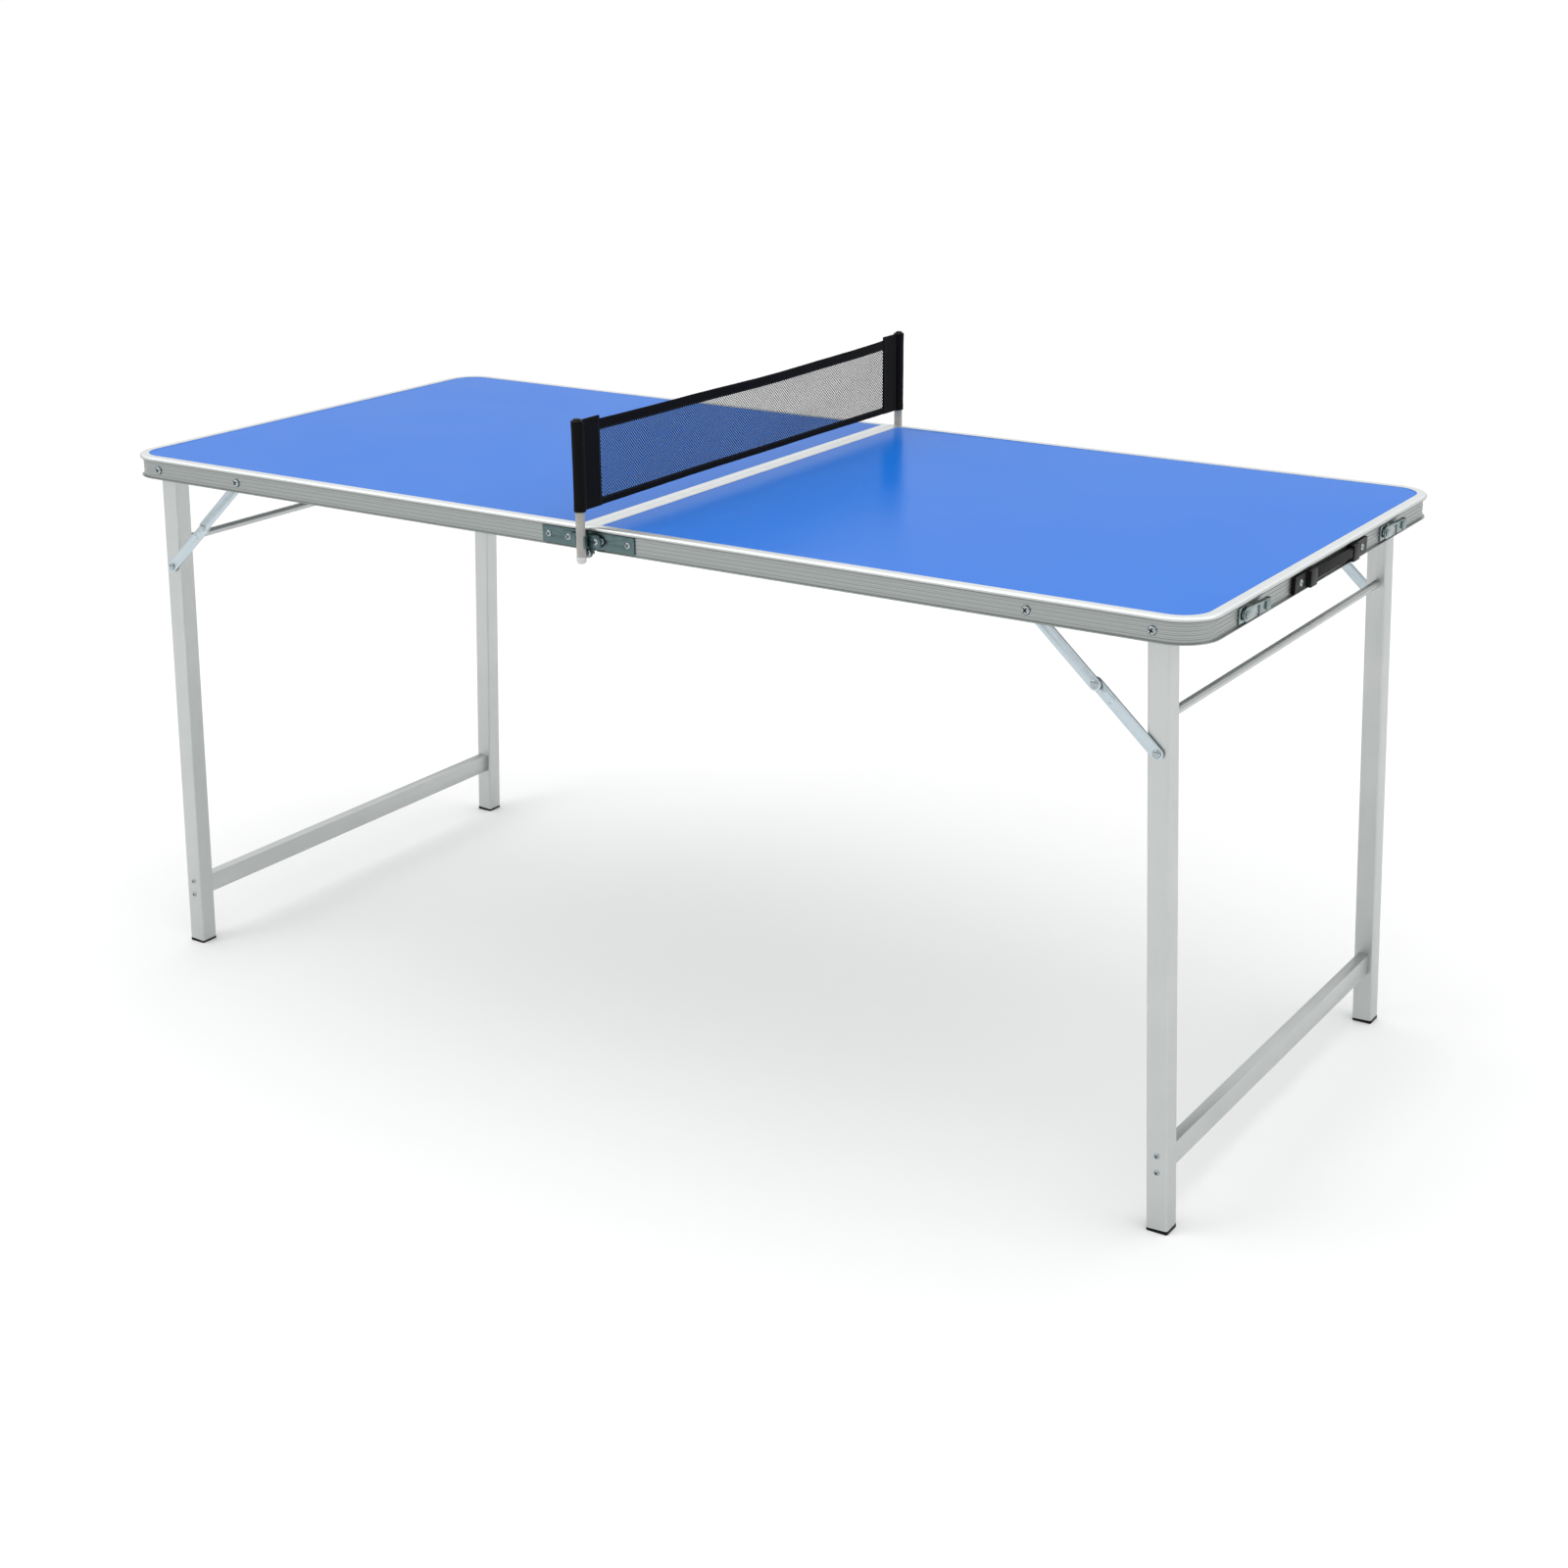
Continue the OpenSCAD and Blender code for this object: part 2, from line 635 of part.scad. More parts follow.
module latch_base_one(y) {
  translate([end_face_x, y - base_l / 2, latch_z - hook_w / 2 - 1]) cube([latch_base_t, base_l, hook_w + 2]);
  rod_x(y, latch_z, latch_boss_r, end_face_x, hook_x - fit);
  rod_x(y, latch_z, latch_pin_r, end_face_x, hook_x + hook_t + fit);
  head_x(y, latch_z, latch_head_r, latch_head_h, hook_x + hook_t + fit);
}

module hook(y) {
  difference() {
    union() {
      rod_x(y, latch_z, hook_w / 2, hook_x, hook_x + hook_t);
      translate([hook_x, y, latch_z - hook_w / 2]) cube([hook_t, hook_l, hook_w]);
      translate([hook_x + hook_roll_r, y + hook_l, latch_z - hook_w / 2 + 2])
        cylinder(h = hook_w - 2, r = hook_roll_r);
    }
    rod_x(y, latch_z, latch_pin_r + run_fit, hook_x - 1, hook_x + hook_t + 1);
    // slot that drops over the stud of the other half, and its tapered lower edge
    translate([hook_x - 1, y + catch_drop - hook_slot, latch_z - hook_w])
      cube([hook_t + 2, 2 * hook_slot, hook_w + hook_slot - eps]);
  }
}

module catch_stud_one(y) {
  translate([end_face_x, y - catch_plate / 2, latch_z - catch_plate / 2])
    cube([latch_base_t, catch_plate, catch_plate]);
  rod_x(y, latch_z, stud_r, end_face_x, hook_x + hook_t + stud_gap);
  head_x(y, latch_z, latch_head_r, latch_head_h, hook_x + hook_t + stud_gap);
}

// ---- net -------------------------------------------------------------------
module post_one() {
  difference() {
    translate([0, post_y, post_z0]) cylinder(h = sleeve_z1 - post_z0, r = post_r);
    translate([0, post_y, post_z0 - 1]) cylinder(h = sleeve_z1 - post_z0 + 2, r = post_r - 1);
  }
}

module post_top_one() {
  translate([0, post_y, sleeve_z1]) cylinder(h = cap_h, r1 = post_r, r2 = post_r * 0.7);
  translate([0, post_y, sleeve_z1 - 10]) cylinder(h = 10 + eps, r = post_r - 1);
}

module post_foot_one() {
  translate([0, post_y, post_z0 - foot_knob_h]) {
    cylinder(h = foot_knob_h * 0.4, r1 = foot_knob_r * 0.7, r2 = foot_knob_r);
    translate([0, 0, foot_knob_h * 0.4]) cylinder(h = foot_knob_h * 0.6, r = foot_knob_r);
  }
  translate([0, post_y, post_z0 - eps]) cylinder(h = 12, r = post_r - 1);
}

module sleeve_one() {
  difference() {
    union() {
      translate([0, post_y, net_z0]) cylinder(h = sleeve_z1 - net_z0, r = sleeve_r);
      translate([-band_t / 2, hem_y, net_z0]) cube([band_t, post_y - hem_y, sleeve_z1 - net_z0]);
    }
    translate([0, post_y, net_z0 - 1]) cylinder(h = sleeve_z1 - net_z0 + 2, r = post_r);
  }
}

module band(z0, h, t) {
  translate([-t / 2, -hem_y, z0]) cube([t, 2 * hem_y, h]);
}

// ---- sub-parts -------------------------------------------------------------
module to_left() { mirror([1, 0, 0]) children(); }
module front() { mirror([0, 1, 0]) children(); }

module left_board() color(blue) to_left() half_board();
module right_board() color(blue) half_board();
module left_edge_rail() color(alloy) to_left() half_edge_rail(left_screws);
module right_edge_rail() color(alloy) half_edge_rail(right_screws);
module left_seam_rail() color(alloy) to_left() half_seam_rail();
module right_seam_rail() color(alloy) half_seam_rail();

module left_hinge_plates() color(zinc) both_sides() left_plate_one();
module right_hinge_plates() color(zinc) both_sides() right_plate_one();
module hinge_pins() color(steel) both_sides() hinge_pin_one();
module plate_screw(x, y) {
  rod_y(x, tongue_z, screw_r, web_in_y, y);
  head_y(x, tongue_z, screw_head_r, screw_head_h, y);
}
module hinge_screws_left() color(steel) both_sides() {
  plate_screw(-left_screws[1], plate_y1);
  plate_screw(-left_screws[0], plate_y1 + clip_t);
}
module hinge_screws_right() color(steel) both_sides()
  for (x = right_screws) plate_screw(x, plate_y1);
module net_clips() color(zinc) both_sides() clip_one();
module net_clip_rivets() color(steel) both_sides() {
  rod_y(rivet_x, tongue_z, screw_r, tongue_y0, tongue_y1 + clip_t);
  head_y(rivet_x, tongue_z, screw_head_r, screw_head_h, tongue_y1 + clip_t);
}

module left_frame_bolts() color(steel) to_left() both_sides() frame_bolt_pair();
module right_frame_bolts() color(steel) both_sides() frame_bolt_pair();
module left_spacers() color(zinc) to_left() both_sides() spacer_pair();
module right_spacers() color(zinc) both_sides() spacer_pair();

module left_leg_front() color(alloy) to_left() front() leant() leg_one();
module left_leg_rear() color(alloy) to_left() leant() leg_one();
module right_leg_front() color(alloy) front() leant() leg_one();
module right_leg_rear() color(alloy) leant() leg_one();
module left_leg_plugs() color(black) to_left() both_sides() leant() leg_plug_one();
module right_leg_plugs() color(black) both_sides() leant() leg_plug_one();
module left_feet() color(black) to_left() both_sides() foot_one();
module right_feet() color(black) both_sides() foot_one();
module left_low_bar() color(alloy) to_left() leant() low_bar();
module right_low_bar() color(alloy) leant() low_bar();
module left_high_bar() color(alloy) to_left() leant() high_bar();
module right_high_bar() color(alloy) leant() high_bar();
module left_bar_screws() color(steel) to_left() both_sides() leant() bar_screw_pair();
module right_bar_screws() color(steel) both_sides() leant() bar_screw_pair();
module left_brace_pins() color(steel) to_left() both_sides() leant() brace_pin_one();
module right_brace_pins() color(steel) both_sides() leant() brace_pin_one();

module left_front_high_link() color(zinc) to_left() front() high_link();
module left_front_low_link() color(zinc) to_left() front() low_link();
module left_rear_high_link() color(zinc) to_left() high_link();
module left_rear_low_link() color(zinc) to_left() low_link();
module right_front_high_link() color(zinc) front() high_link();
module right_front_low_link() color(zinc) front() low_link();
module right_rear_high_link() color(zinc) high_link();
module right_rear_low_link() color(zinc) low_link();

module handle_ends() color(black) both_sides() handle_end_one();
module handle_screws() color(steel) both_sides() {
  y = handle_l / 2 - handle_screw_in;
  rod_x(y, handle_z, screw_r, end_face_x, end_face_x + handle_plate_t);
  head_x(y, handle_z, screw_head_r, screw_head_h, end_face_x + handle_plate_t);
}
module handle_grip() color(black) grip();
module latch_bases() color(zinc) for (y = [latch_y_near, latch_y_far]) latch_base_one(y);
module hook_near() color(zinc) hook(latch_y_near);
module hook_far() color(zinc) hook(latch_y_far);
module catch_studs() color(zinc) to_left()
  for (y = [latch_y_near, latch_y_far]) catch_stud_one(y);

module net_posts() color(clear_grey) both_sides() post_one();
module net_post_tops() color(black) both_sides() post_top_one();
module net_post_feet() color(clear_grey) both_sides() post_foot_one();
module net_sleeves() color(black) both_sides() sleeve_one();
module net_top_band() color(black) band(net_z1 - top_band_h, top_band_h, band_t);
module net_low_band() color(black) band(net_z0, low_band_h, band_t);
module net_mesh() color(black)
  band(net_z0 + low_band_h, net_h - low_band_h - top_band_h, mesh_t);

left_board();
left_edge_rail();
left_seam_rail();
right_board();
right_edge_rail();
right_seam_rail();
left_hinge_plates();
right_hinge_plates();
hinge_pins();
hinge_screws_left();
hinge_screws_right();
net_clips();
net_clip_rivets();
left_frame_bolts();
right_frame_bolts();
left_spacers();
right_spacers();
left_leg_front();
left_leg_rear();
right_leg_front();
right_leg_rear();
left_leg_plugs();
right_leg_plugs();
left_feet();
right_feet();
left_low_bar();
right_low_bar();
left_high_bar();
right_high_bar();
left_bar_screws();
right_bar_screws();
left_brace_pins();
right_brace_pins();
left_front_high_link();
left_front_low_link();
left_rear_high_link();
left_rear_low_link();
right_front_high_link();
right_front_low_link();
right_rear_high_link();
right_rear_low_link();
handle_ends();
handle_screws();
handle_grip();
latch_bases();
hook_near();
hook_far();
catch_studs();
net_posts();
net_post_tops();
net_post_feet();
net_sleeves();
net_top_band();
net_low_band();
net_mesh();
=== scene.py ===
"""Folding junior table-tennis table: finishes, net cloth, fasteners, studio and camera.

Metres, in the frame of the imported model: X along the table, Y across it, Z up from the floor.
"""
import json
import math

import bmesh
import bpy
from mathutils import Matrix, Vector


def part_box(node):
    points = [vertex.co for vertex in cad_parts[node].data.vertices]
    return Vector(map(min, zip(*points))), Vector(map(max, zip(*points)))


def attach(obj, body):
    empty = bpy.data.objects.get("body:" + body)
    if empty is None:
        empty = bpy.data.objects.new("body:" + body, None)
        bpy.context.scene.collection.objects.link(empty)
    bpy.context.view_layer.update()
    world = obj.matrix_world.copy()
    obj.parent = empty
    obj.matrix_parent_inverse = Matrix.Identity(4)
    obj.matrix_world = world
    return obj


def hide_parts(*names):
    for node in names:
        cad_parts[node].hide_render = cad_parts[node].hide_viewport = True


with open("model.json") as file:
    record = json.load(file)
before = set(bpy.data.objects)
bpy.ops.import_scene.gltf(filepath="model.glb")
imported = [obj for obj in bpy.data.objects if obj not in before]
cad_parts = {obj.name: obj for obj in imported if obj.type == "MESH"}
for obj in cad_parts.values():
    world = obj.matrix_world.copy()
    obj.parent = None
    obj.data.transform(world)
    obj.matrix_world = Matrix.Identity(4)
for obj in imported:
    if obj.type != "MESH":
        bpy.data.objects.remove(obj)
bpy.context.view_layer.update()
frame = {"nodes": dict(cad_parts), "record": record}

MM = 0.001
NODES = frame["nodes"]
BODY_OF = {
    node: body for body, nodes in frame["record"]["behaviour"]["bodies"].items() for node in nodes
}
SIDES = ("left", "right")


# ---- small tools ---------------------------------------------------------------
def linear(hex_colour):
    """An sRGB hex colour as Blender's linear RGBA."""
    parts = [int(hex_colour[i : i + 2], 16) / 255 for i in (1, 3, 5)]
    return (*[p / 12.92 if p <= 0.04045 else ((p + 0.055) / 1.055) ** 2.4 for p in parts], 1.0)


def add(tree, kind, inputs=None, **settings):
    """A node with its settings; an input is a value or the socket that feeds it."""
    made = tree.nodes.new(kind)
    for key, value in settings.items():
        setattr(made, key, value)
    for key, value in (inputs or {}).items():
        if isinstance(value, bpy.types.NodeSocket):
            tree.links.new(value, made.inputs[key])
        else:
            made.inputs[key].default_value = value
    return made


def new_material(name, **sockets):
    """A Principled material with the given socket values, and its tree and shader."""
    material = bpy.data.materials.new(name)
    material.use_nodes = True
    tree = material.node_tree
    shader = tree.nodes["Principled BSDF"]
    for key, value in sockets.items():
        shader.inputs[key.replace("_", " ")].default_value = value
    return material, tree, shader


def place(tree, stretch=(1, 1, 1)):
    """Object coordinates, in metres, multiplied by stretch."""
    coordinates = add(tree, "ShaderNodeTexCoord")
    return add(
        tree, "ShaderNodeMapping", {"Vector": coordinates.outputs["Object"], "Scale": stretch}
    ).outputs["Vector"]


def noise(tree, vector, scale, detail=2.0):
    return add(
        tree, "ShaderNodeTexNoise", {"Vector": vector, "Scale": scale, "Detail": detail}
    ).outputs["Fac"]


def spread(tree, value, low, high):
    """A 0 to 1 value mapped to low to high."""
    return add(
        tree, "ShaderNodeMapRange", {"Value": value, "From Min": 0.3, "From Max": 0.7,
                                     "To Min": low, "To Max": high}
    ).outputs["Result"]


def tint(tree, value, first, second):
    """A mix by value of two colours, each a hex colour or the socket that feeds it."""
    mixed = add(tree, "ShaderNodeMix", data_type="RGBA")
    tree.links.new(value, mixed.inputs["Factor"])
    for key, colour in (("A", first), ("B", second)):
        if isinstance(colour, str):
            mixed.inputs[key].default_value = linear(colour)
        else:
            tree.links.new(colour, mixed.inputs[key])
    return mixed.outputs["Result"]


def maths(tree, operation, *values):
    """A maths node's result for numbers or sockets."""
    return add(
        tree, "ShaderNodeMath", dict(enumerate(values)), operation=operation
    ).outputs["Value"]


def height_of(tree, vector):
    return add(tree, "ShaderNodeSeparateXYZ", {"Vector": vector}).outputs["Z"]


def bump(tree, shader, height, depth, strength=1.0):
    """Relief from a 0 to 1 height that is depth metres deep."""
    relief = add(
        tree, "ShaderNodeBump", {"Height": height, "Distance": depth, "Strength": strength}
    )
    tree.links.new(relief.outputs["Normal"], shader.inputs["Normal"])


# ---- finishes ------------------------------------------------------------------
def laminate_blue():
    """Blue melamine laminate, pressed on a polished plate: an even deep blue with a soft,
    slightly blurred mirror of what stands round it; the underside is plain grey backing paper."""
    material, tree, shader = new_material("laminate_blue", IOR=1.5, Specular_IOR_Level=0.08)
    at = place(tree)
    low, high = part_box("left_board")
    top = maths(tree, "GREATER_THAN", height_of(tree, at), (low.z + high.z) / 2)
    blue = tint(tree, noise(tree, at, 5.0), "#076FD6", "#0A73DB")
    paper = tint(tree, noise(tree, at, 900.0), "#7F8486", "#8D9294")
    tree.links.new(tint(tree, top, paper, blue), shader.inputs["Base Color"])
    tree.links.new(spread(tree, noise(tree, at, 9.0), 0.20, 0.25), shader.inputs["Roughness"])
    # pressing leaves a faint orange peel, about 3 mm from crest to crest
    bump(tree, shader, noise(tree, at, 330.0, 1.0), 0.006 * MM)
    return material


RIB_FROM_TOP = 9.4 * MM  # top of the rail to the underside of the first rib
RIB_PITCH = 4.6 * MM


def rail_aluminium():
    """Extruded aluminium, satin anodised: fine drawn lines along the rail. The rolled lip on top is
    painted near white, brighter than the web below it: painted light, where it faces the light from
    above."""
    material, tree, shader = new_material("rail_aluminium", Metallic=1.0)
    at = place(tree)
    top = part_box("right_edge_rail")[1].z
    height = height_of(tree, at)
    # painted light: the top few millimetres of the rail, its lip, are masked by height to be
    # painted brighter
    lip = add(
        tree,
        "ShaderNodeMapRange",
        {"Value": height, "From Min": top - 4 * MM, "From Max": top - 1.5 * MM},
    ).outputs["Result"]
    drawn = noise(tree, place(tree, (3, 3, 1400)), 1.0, 3.0)
    # painted shade: a dark line is painted just under each of the four ribs, where their shadow
    # falls
    below = maths(tree, "SUBTRACT", height, top - RIB_FROM_TOP)
    share = maths(tree, "FRACT", maths(tree, "DIVIDE", below, -RIB_PITCH))
    rib_shadow = add(
        tree, "ShaderNodeMapRange",
        {"Value": share, "From Min": 0.0, "From Max": 0.3, "To Min": 1.0, "To Max": 0.0},
    ).outputs["Result"]
    web = tint(tree, rib_shadow, tint(tree, drawn, "#9DA2A0", "#AEB3B1"), "#6A706F")
    # painted light: the near-white colour painted on the lip
    painted_lit_lip = tint(tree, noise(tree, at, 60.0), "#E6EAEA", "#F0F3F3")
    tree.links.new(tint(tree, lip, web, painted_lit_lip), shader.inputs["Base Color"])
    tree.links.new(spread(tree, drawn, 0.30, 0.42), shader.inputs["Roughness"])
    bump(tree, shader, drawn, 0.02 * MM)
    return material


def tube_aluminium(name, stretch):
    """Drawn aluminium tube, satin anodised: pale grey with lines along its length."""
    material, tree, shader = new_material(name, Metallic=1.0)
    drawn = noise(tree, place(tree, stretch), 1.0, 3.0)
    cloud = noise(tree, place(tree), 14.0, 2.0)
    tree.links.new(tint(tree, cloud, "#BBBFBE", "#C8CBCA"), shader.inputs["Base Color"])
    tree.links.new(spread(tree, drawn, 0.34, 0.46), shader.inputs["Roughness"])
    bump(tree, shader, drawn, 0.015 * MM)
    return material


def zinc_plate(name, dark, light, low=0.26, high=0.42):
    """Pressed steel, blue passivated zinc: a cool, faintly cloudy plate with fine rolling
    marks, so its reflections break up over a few millimetres."""
    material, tree, shader = new_material(name, Metallic=1.0)
    at = place(tree)
    cloud = noise(tree, at, 120.0, 3.0)
    tree.links.new(tint(tree, cloud, dark, light), shader.inputs["Base Color"])
    tree.links.new(spread(tree, cloud, low, high), shader.inputs["Roughness"])
    bump(tree, shader, noise(tree, place(tree, (900, 260, 900)), 1.0, 2.0), 0.02 * MM)
    return material


def bright_zinc():
    """Bright zinc plated screws and rivets: clear small highlights, a little dull in places."""
    material, tree, shader = new_material("bright_zinc", Metallic=1.0)
    cloud = noise(tree, place(tree), 400.0, 2.0)
    tree.links.new(tint(tree, cloud, "#8D979A", "#B9C2C5"), shader.inputs["Base Color"])
    tree.links.new(spread(tree, cloud, 0.12, 0.22), shader.inputs["Roughness"])
    return material


def moulded_black(name, roughness, grain_mm):
    """Injection moulded black ABS with a fine spark-eroded grain: soft, broad highlights."""
    material, tree, shader = new_material(name, IOR=1.53, Specular_IOR_Level=0.16)
    at = place(tree)
    grain = noise(tree, at, 1000 / grain_mm, 2.0)
    colour = tint(tree, noise(tree, at, 25.0), "#020202", "#050505")
    tree.links.new(colour, shader.inputs["Base Color"])
    shine = spread(tree, grain, roughness - 0.05, roughness + 0.07)
    tree.links.new(shine, shader.inputs["Roughness"])
    bump(tree, shader, grain, 0.03 * MM)
    return material


def moulded_pale(name, dark, light):
    """Pale grey nylon: waxy, slightly uneven, with a soft shine."""
    material, tree, shader = new_material(name, IOR=1.53)
    at = place(tree)
    cloud = noise(tree, at, 90.0, 3.0)
    tree.links.new(tint(tree, cloud, dark, light), shader.inputs["Base Color"])
    tree.links.new(spread(tree, cloud, 0.26, 0.38), shader.inputs["Roughness"])
    bump(tree, shader, noise(tree, at, 500.0, 1.0), 0.02 * MM)
    return material


def woven_black():
    """Black woven polyester tape: a plain weave of 0.5 mm yarns, drawn at 0.8 mm so that it
    shows, with a dusty sheen at glancing angles."""
    material, tree, shader = new_material(
        "woven_black", Roughness=0.82, Sheen_Weight=0.03, Sheen_Roughness=0.4,
        Sheen_Tint=linear("#8A8C90"), Specular_IOR_Level=0.14,
    )
    yarn_mm = 0.8
    turns = 1000 / yarn_mm / 2
    at = place(tree)
    across, along = (
        add(
            tree, "ShaderNodeTexWave",
            {"Vector": at, "Scale": turns / math.pi, "Distortion": 0.4},
            bands_direction=direction,
        ).outputs["Fac"] for direction in "YZ"
    )
    weave = maths(tree, "MULTIPLY", across, along)
    tree.links.new(tint(tree, weave, "#040405", "#0C0C0D"), shader.inputs["Base Color"])
    bump(tree, shader, weave, 0.12 * MM)
    return material


def net_cord():
    """Black polyester net yarn: matt, with a little lint that catches the light."""
    material, tree, shader = new_material("net_cord", Roughness=0.7, Specular_IOR_Level=0.15)
    lint = noise(tree, place(tree), 1500.0, 2.0)
    tree.links.new(tint(tree, lint, "#050506", "#0E0E10"), shader.inputs["Base Color"])
    return material


def sewing_thread():
    """Black polyester sewing thread, twisted: a shade lighter than the tape it holds."""
    material, tree, shader = new_material("sewing_thread", Roughness=0.5)
    twist = noise(tree, place(tree), 2500.0, 1.0)
    tree.links.new(tint(tree, twist, "#1A1A1D", "#34343A"), shader.inputs["Base Color"])
    return material


LAMINATE = laminate_blue()
RAIL = rail_aluminium()
LEG = tube_aluminium("leg_aluminium", (1300, 1300, 5))
BAR = tube_aluminium("bar_aluminium", (1300, 5, 1300))
HINGE_ZINC = zinc_plate("hinge_zinc", "#4F6366", "#6C8082")
BRACE_ZINC = zinc_plate("brace_zinc", "#B3C1C8", "#CBD5DA", 0.30, 0.44)
LATCH_ZINC = zinc_plate("latch_zinc", "#748283", "#9FABAB", 0.14, 0.24)
BRIGHT = bright_zinc()
BLACK = moulded_black("moulded_black", 0.40, 0.9)
RUBBER = moulded_black("grip_black", 0.46, 1.2)
POST = moulded_pale("post_nylon", "#8F8E8B", "#A9A8A5")
KNOB = moulded_pale("knob_nylon", "#BFC1C1", "#D2D4D4")
# painted shade: a black material for the insert at the bottom of each cross recess
RECESS_SHADE = moulded_black("painted_recess_shade", 0.6, 0.5)
WOVEN = woven_black()
CORD = net_cord()
THREAD = sewing_thread()


# ---- carried-over parts --------------------------------------------------------
def finish_cad(node, material):
    """Gives a CAD node its finish, as it is."""
    slots = NODES[node].material_slots
    for slot in slots:
        slot.material = material
    if not slots:
        NODES[node].data.materials.append(material)


def piece(name, mesh, body, replaces=()):
    """A finished mesh as an object at the origin that rides on a body."""
    made = bpy.data.objects.new(name, mesh)
    bpy.context.scene.collection.objects.link(made)
    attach(made, body)
    if replaces:
        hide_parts(*replaces)
    return made


def smooth_by_angle(mesh, degrees=32):
    mesh.shade_smooth()
    mesh.set_sharp_from_angle(angle=math.radians(degrees))


def mesh_from(bm, name, material=None):
    """A mesh of the given name from bm, which is freed."""
    mesh = bpy.data.meshes.new(name)
    bm.to_mesh(mesh)
    bm.free()
    if material:
        mesh.materials.append(material)
    return mesh


def ring_walls(bm, rings):
    """Faces between rings of the same number of corners."""
    for first, second in zip(rings, rings[1:]):
        for i in range(len(first)):
            j = (i + 1) % len(first)
            bm.faces.new((first[i], first[j], second[j], second[i]))


def ring_edges(bm, ring):
    return [bm.edges.get((ring[i], ring[(i + 1) % len(ring)])) for i in range(len(ring))]


def swept(bm, loops):
    """Walls between closed loops of points, with both ends closed."""
    rings = [[bm.verts.new(point) for point in loop] for loop in loops]
    ring_walls(bm, rings)
    bm.faces.new(rings[0])
    bm.faces.new(rings[-1])
    bmesh.ops.recalc_face_normals(bm, faces=bm.faces)


def eased(node, radius, material, segments=2):
    """A copy of a CAD node with its hard edges eased to a small radius, in the node's place."""
    bm = bmesh.new()
    bm.from_mesh(NODES[node].data)
    bmesh.ops.remove_doubles(bm, verts=bm.verts, dist=0.002 * MM)
    bmesh.ops.dissolve_limit(
        bm, angle_limit=math.radians(0.6), verts=bm.verts, edges=bm.edges, delimit={"NORMAL"}
    )
    hard = [
        edge for edge in bm.edges
        if len(edge.link_faces) == 2 and edge.calc_face_angle(0) > math.radians(40)
    ]
    bmesh.ops.bevel(
        bm, geom=hard, offset=radius, offset_type="OFFSET", segments=segments, profile=0.5,
        affect="EDGES", clamp_overlap=True,
    )
    mesh = mesh_from(bm, f"{node}_eased", material)
    smooth_by_angle(mesh)
    return piece(f"{node}_eased", mesh, BODY_OF[node], (node,))


def rivet_headed(strip):
    """Bright finish on the rivet head that stands 1.5 mm proud of a brace strip."""
    almost_all = 1.4 * MM
    strip.data.materials.append(BRIGHT)
    outermost = max(abs(vertex.co.y) for vertex in strip.data.vertices)
    for face in strip.data.polygons:
        if abs(face.center.y) > outermost - almost_all:
            face.material_index = 1


def latch_flange(node):
    """The folded top edge of a latch hook: a thin triangle that widens to the rolled end."""
    low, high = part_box(node)
    sheet = 1.1 * MM
    root = low.x + 1.4 * MM
    start, end = low.y + 13 * MM, high.y - 3 * MM
    reach = high.x - 0.4 * MM
    bm = bmesh.new()
    outline = [(root, start), (root, end), (reach, end), (reach, end - 10 * MM)]
    swept(bm, [[(x, y, z) for x, y in outline] for z in (high.z - sheet, high.z)])
    bmesh.ops.bevel(
        bm, geom=bm.edges, offset=0.25 * MM, offset_type="OFFSET", segments=2, affect="EDGES"
    )
    mesh = mesh_from(bm, f"{node}_flange", LATCH_ZINC)
    smooth_by_angle(mesh)
    piece(f"{node}_flange", mesh, BODY_OF[node])


for side in SIDES:
    finish_cad(f"{side}_board", LAMINATE)
    finish_cad(f"{side}_edge_rail", RAIL)
    finish_cad(f"{side}_seam_rail", RAIL)
    finish_cad(f"{side}_leg_front", LEG)
    finish_cad(f"{side}_leg_rear", LEG)
    finish_cad(f"{side}_spacers", BRIGHT)
    finish_cad(f"{side}_high_bar", BAR)
    eased(f"{side}_low_bar", 1.2 * MM, BAR)
    eased(f"{side}_leg_plugs", 0.5 * MM, BLACK)
    eased(f"{side}_feet", 0.8 * MM, BLACK)
    eased(f"{side}_hinge_plates", 0.25 * MM, HINGE_ZINC)
    for end in ("front", "rear"):
        rivet_headed(eased(f"{side}_{end}_high_link", 0.3 * MM, BRACE_ZINC))
        eased(f"{side}_{end}_low_link", 0.3 * MM, BRACE_ZINC)
eased("net_clips", 0.25 * MM, HINGE_ZINC)
eased("handle_ends", 1.4 * MM, BLACK, 3)
eased("handle_grip", 0.9 * MM, RUBBER, 3)
eased("latch_bases", 0.25 * MM, LATCH_ZINC)
eased("hook_near", 0.35 * MM, LATCH_ZINC)
eased("hook_far", 0.35 * MM, LATCH_ZINC)
latch_flange("hook_near")
latch_flange("hook_far")
eased("catch_studs", 0.3 * MM, LATCH_ZINC)
finish_cad("net_posts", POST)
eased("net_post_feet", 0.8 * MM, KNOB, 3)
eased("net_post_tops", 0.6 * MM, BLACK, 3)


# ---- fasteners -----------------------------------------------------------------
def loose_solids(node):
    """(lowest corner, highest corner) of each separate solid in a CAD node."""
    bm = bmesh.new()
    bm.from_mesh(NODES[node].data)
    bmesh.ops.remove_doubles(bm, verts=bm.verts, dist=0.002 * MM)
    found, seen = [], set()
    for start in bm.verts:
        if start in seen:
            continue
        group, waiting = [start], [start]
        seen.add(start)
        while waiting:
            vert = waiting.pop()
            for edge in vert.link_edges:
                other = edge.other_vert(vert)
                if other not in seen:
                    seen.add(other)
                    group.append(other)
                    waiting.append(other)
        low = Vector([min(v.co[i] for v in group) for i in range(3)])
        high = Vector([max(v.co[i] for v in group) for i in range(3)])
        found.append((low, high))
    bm.free()
    return found


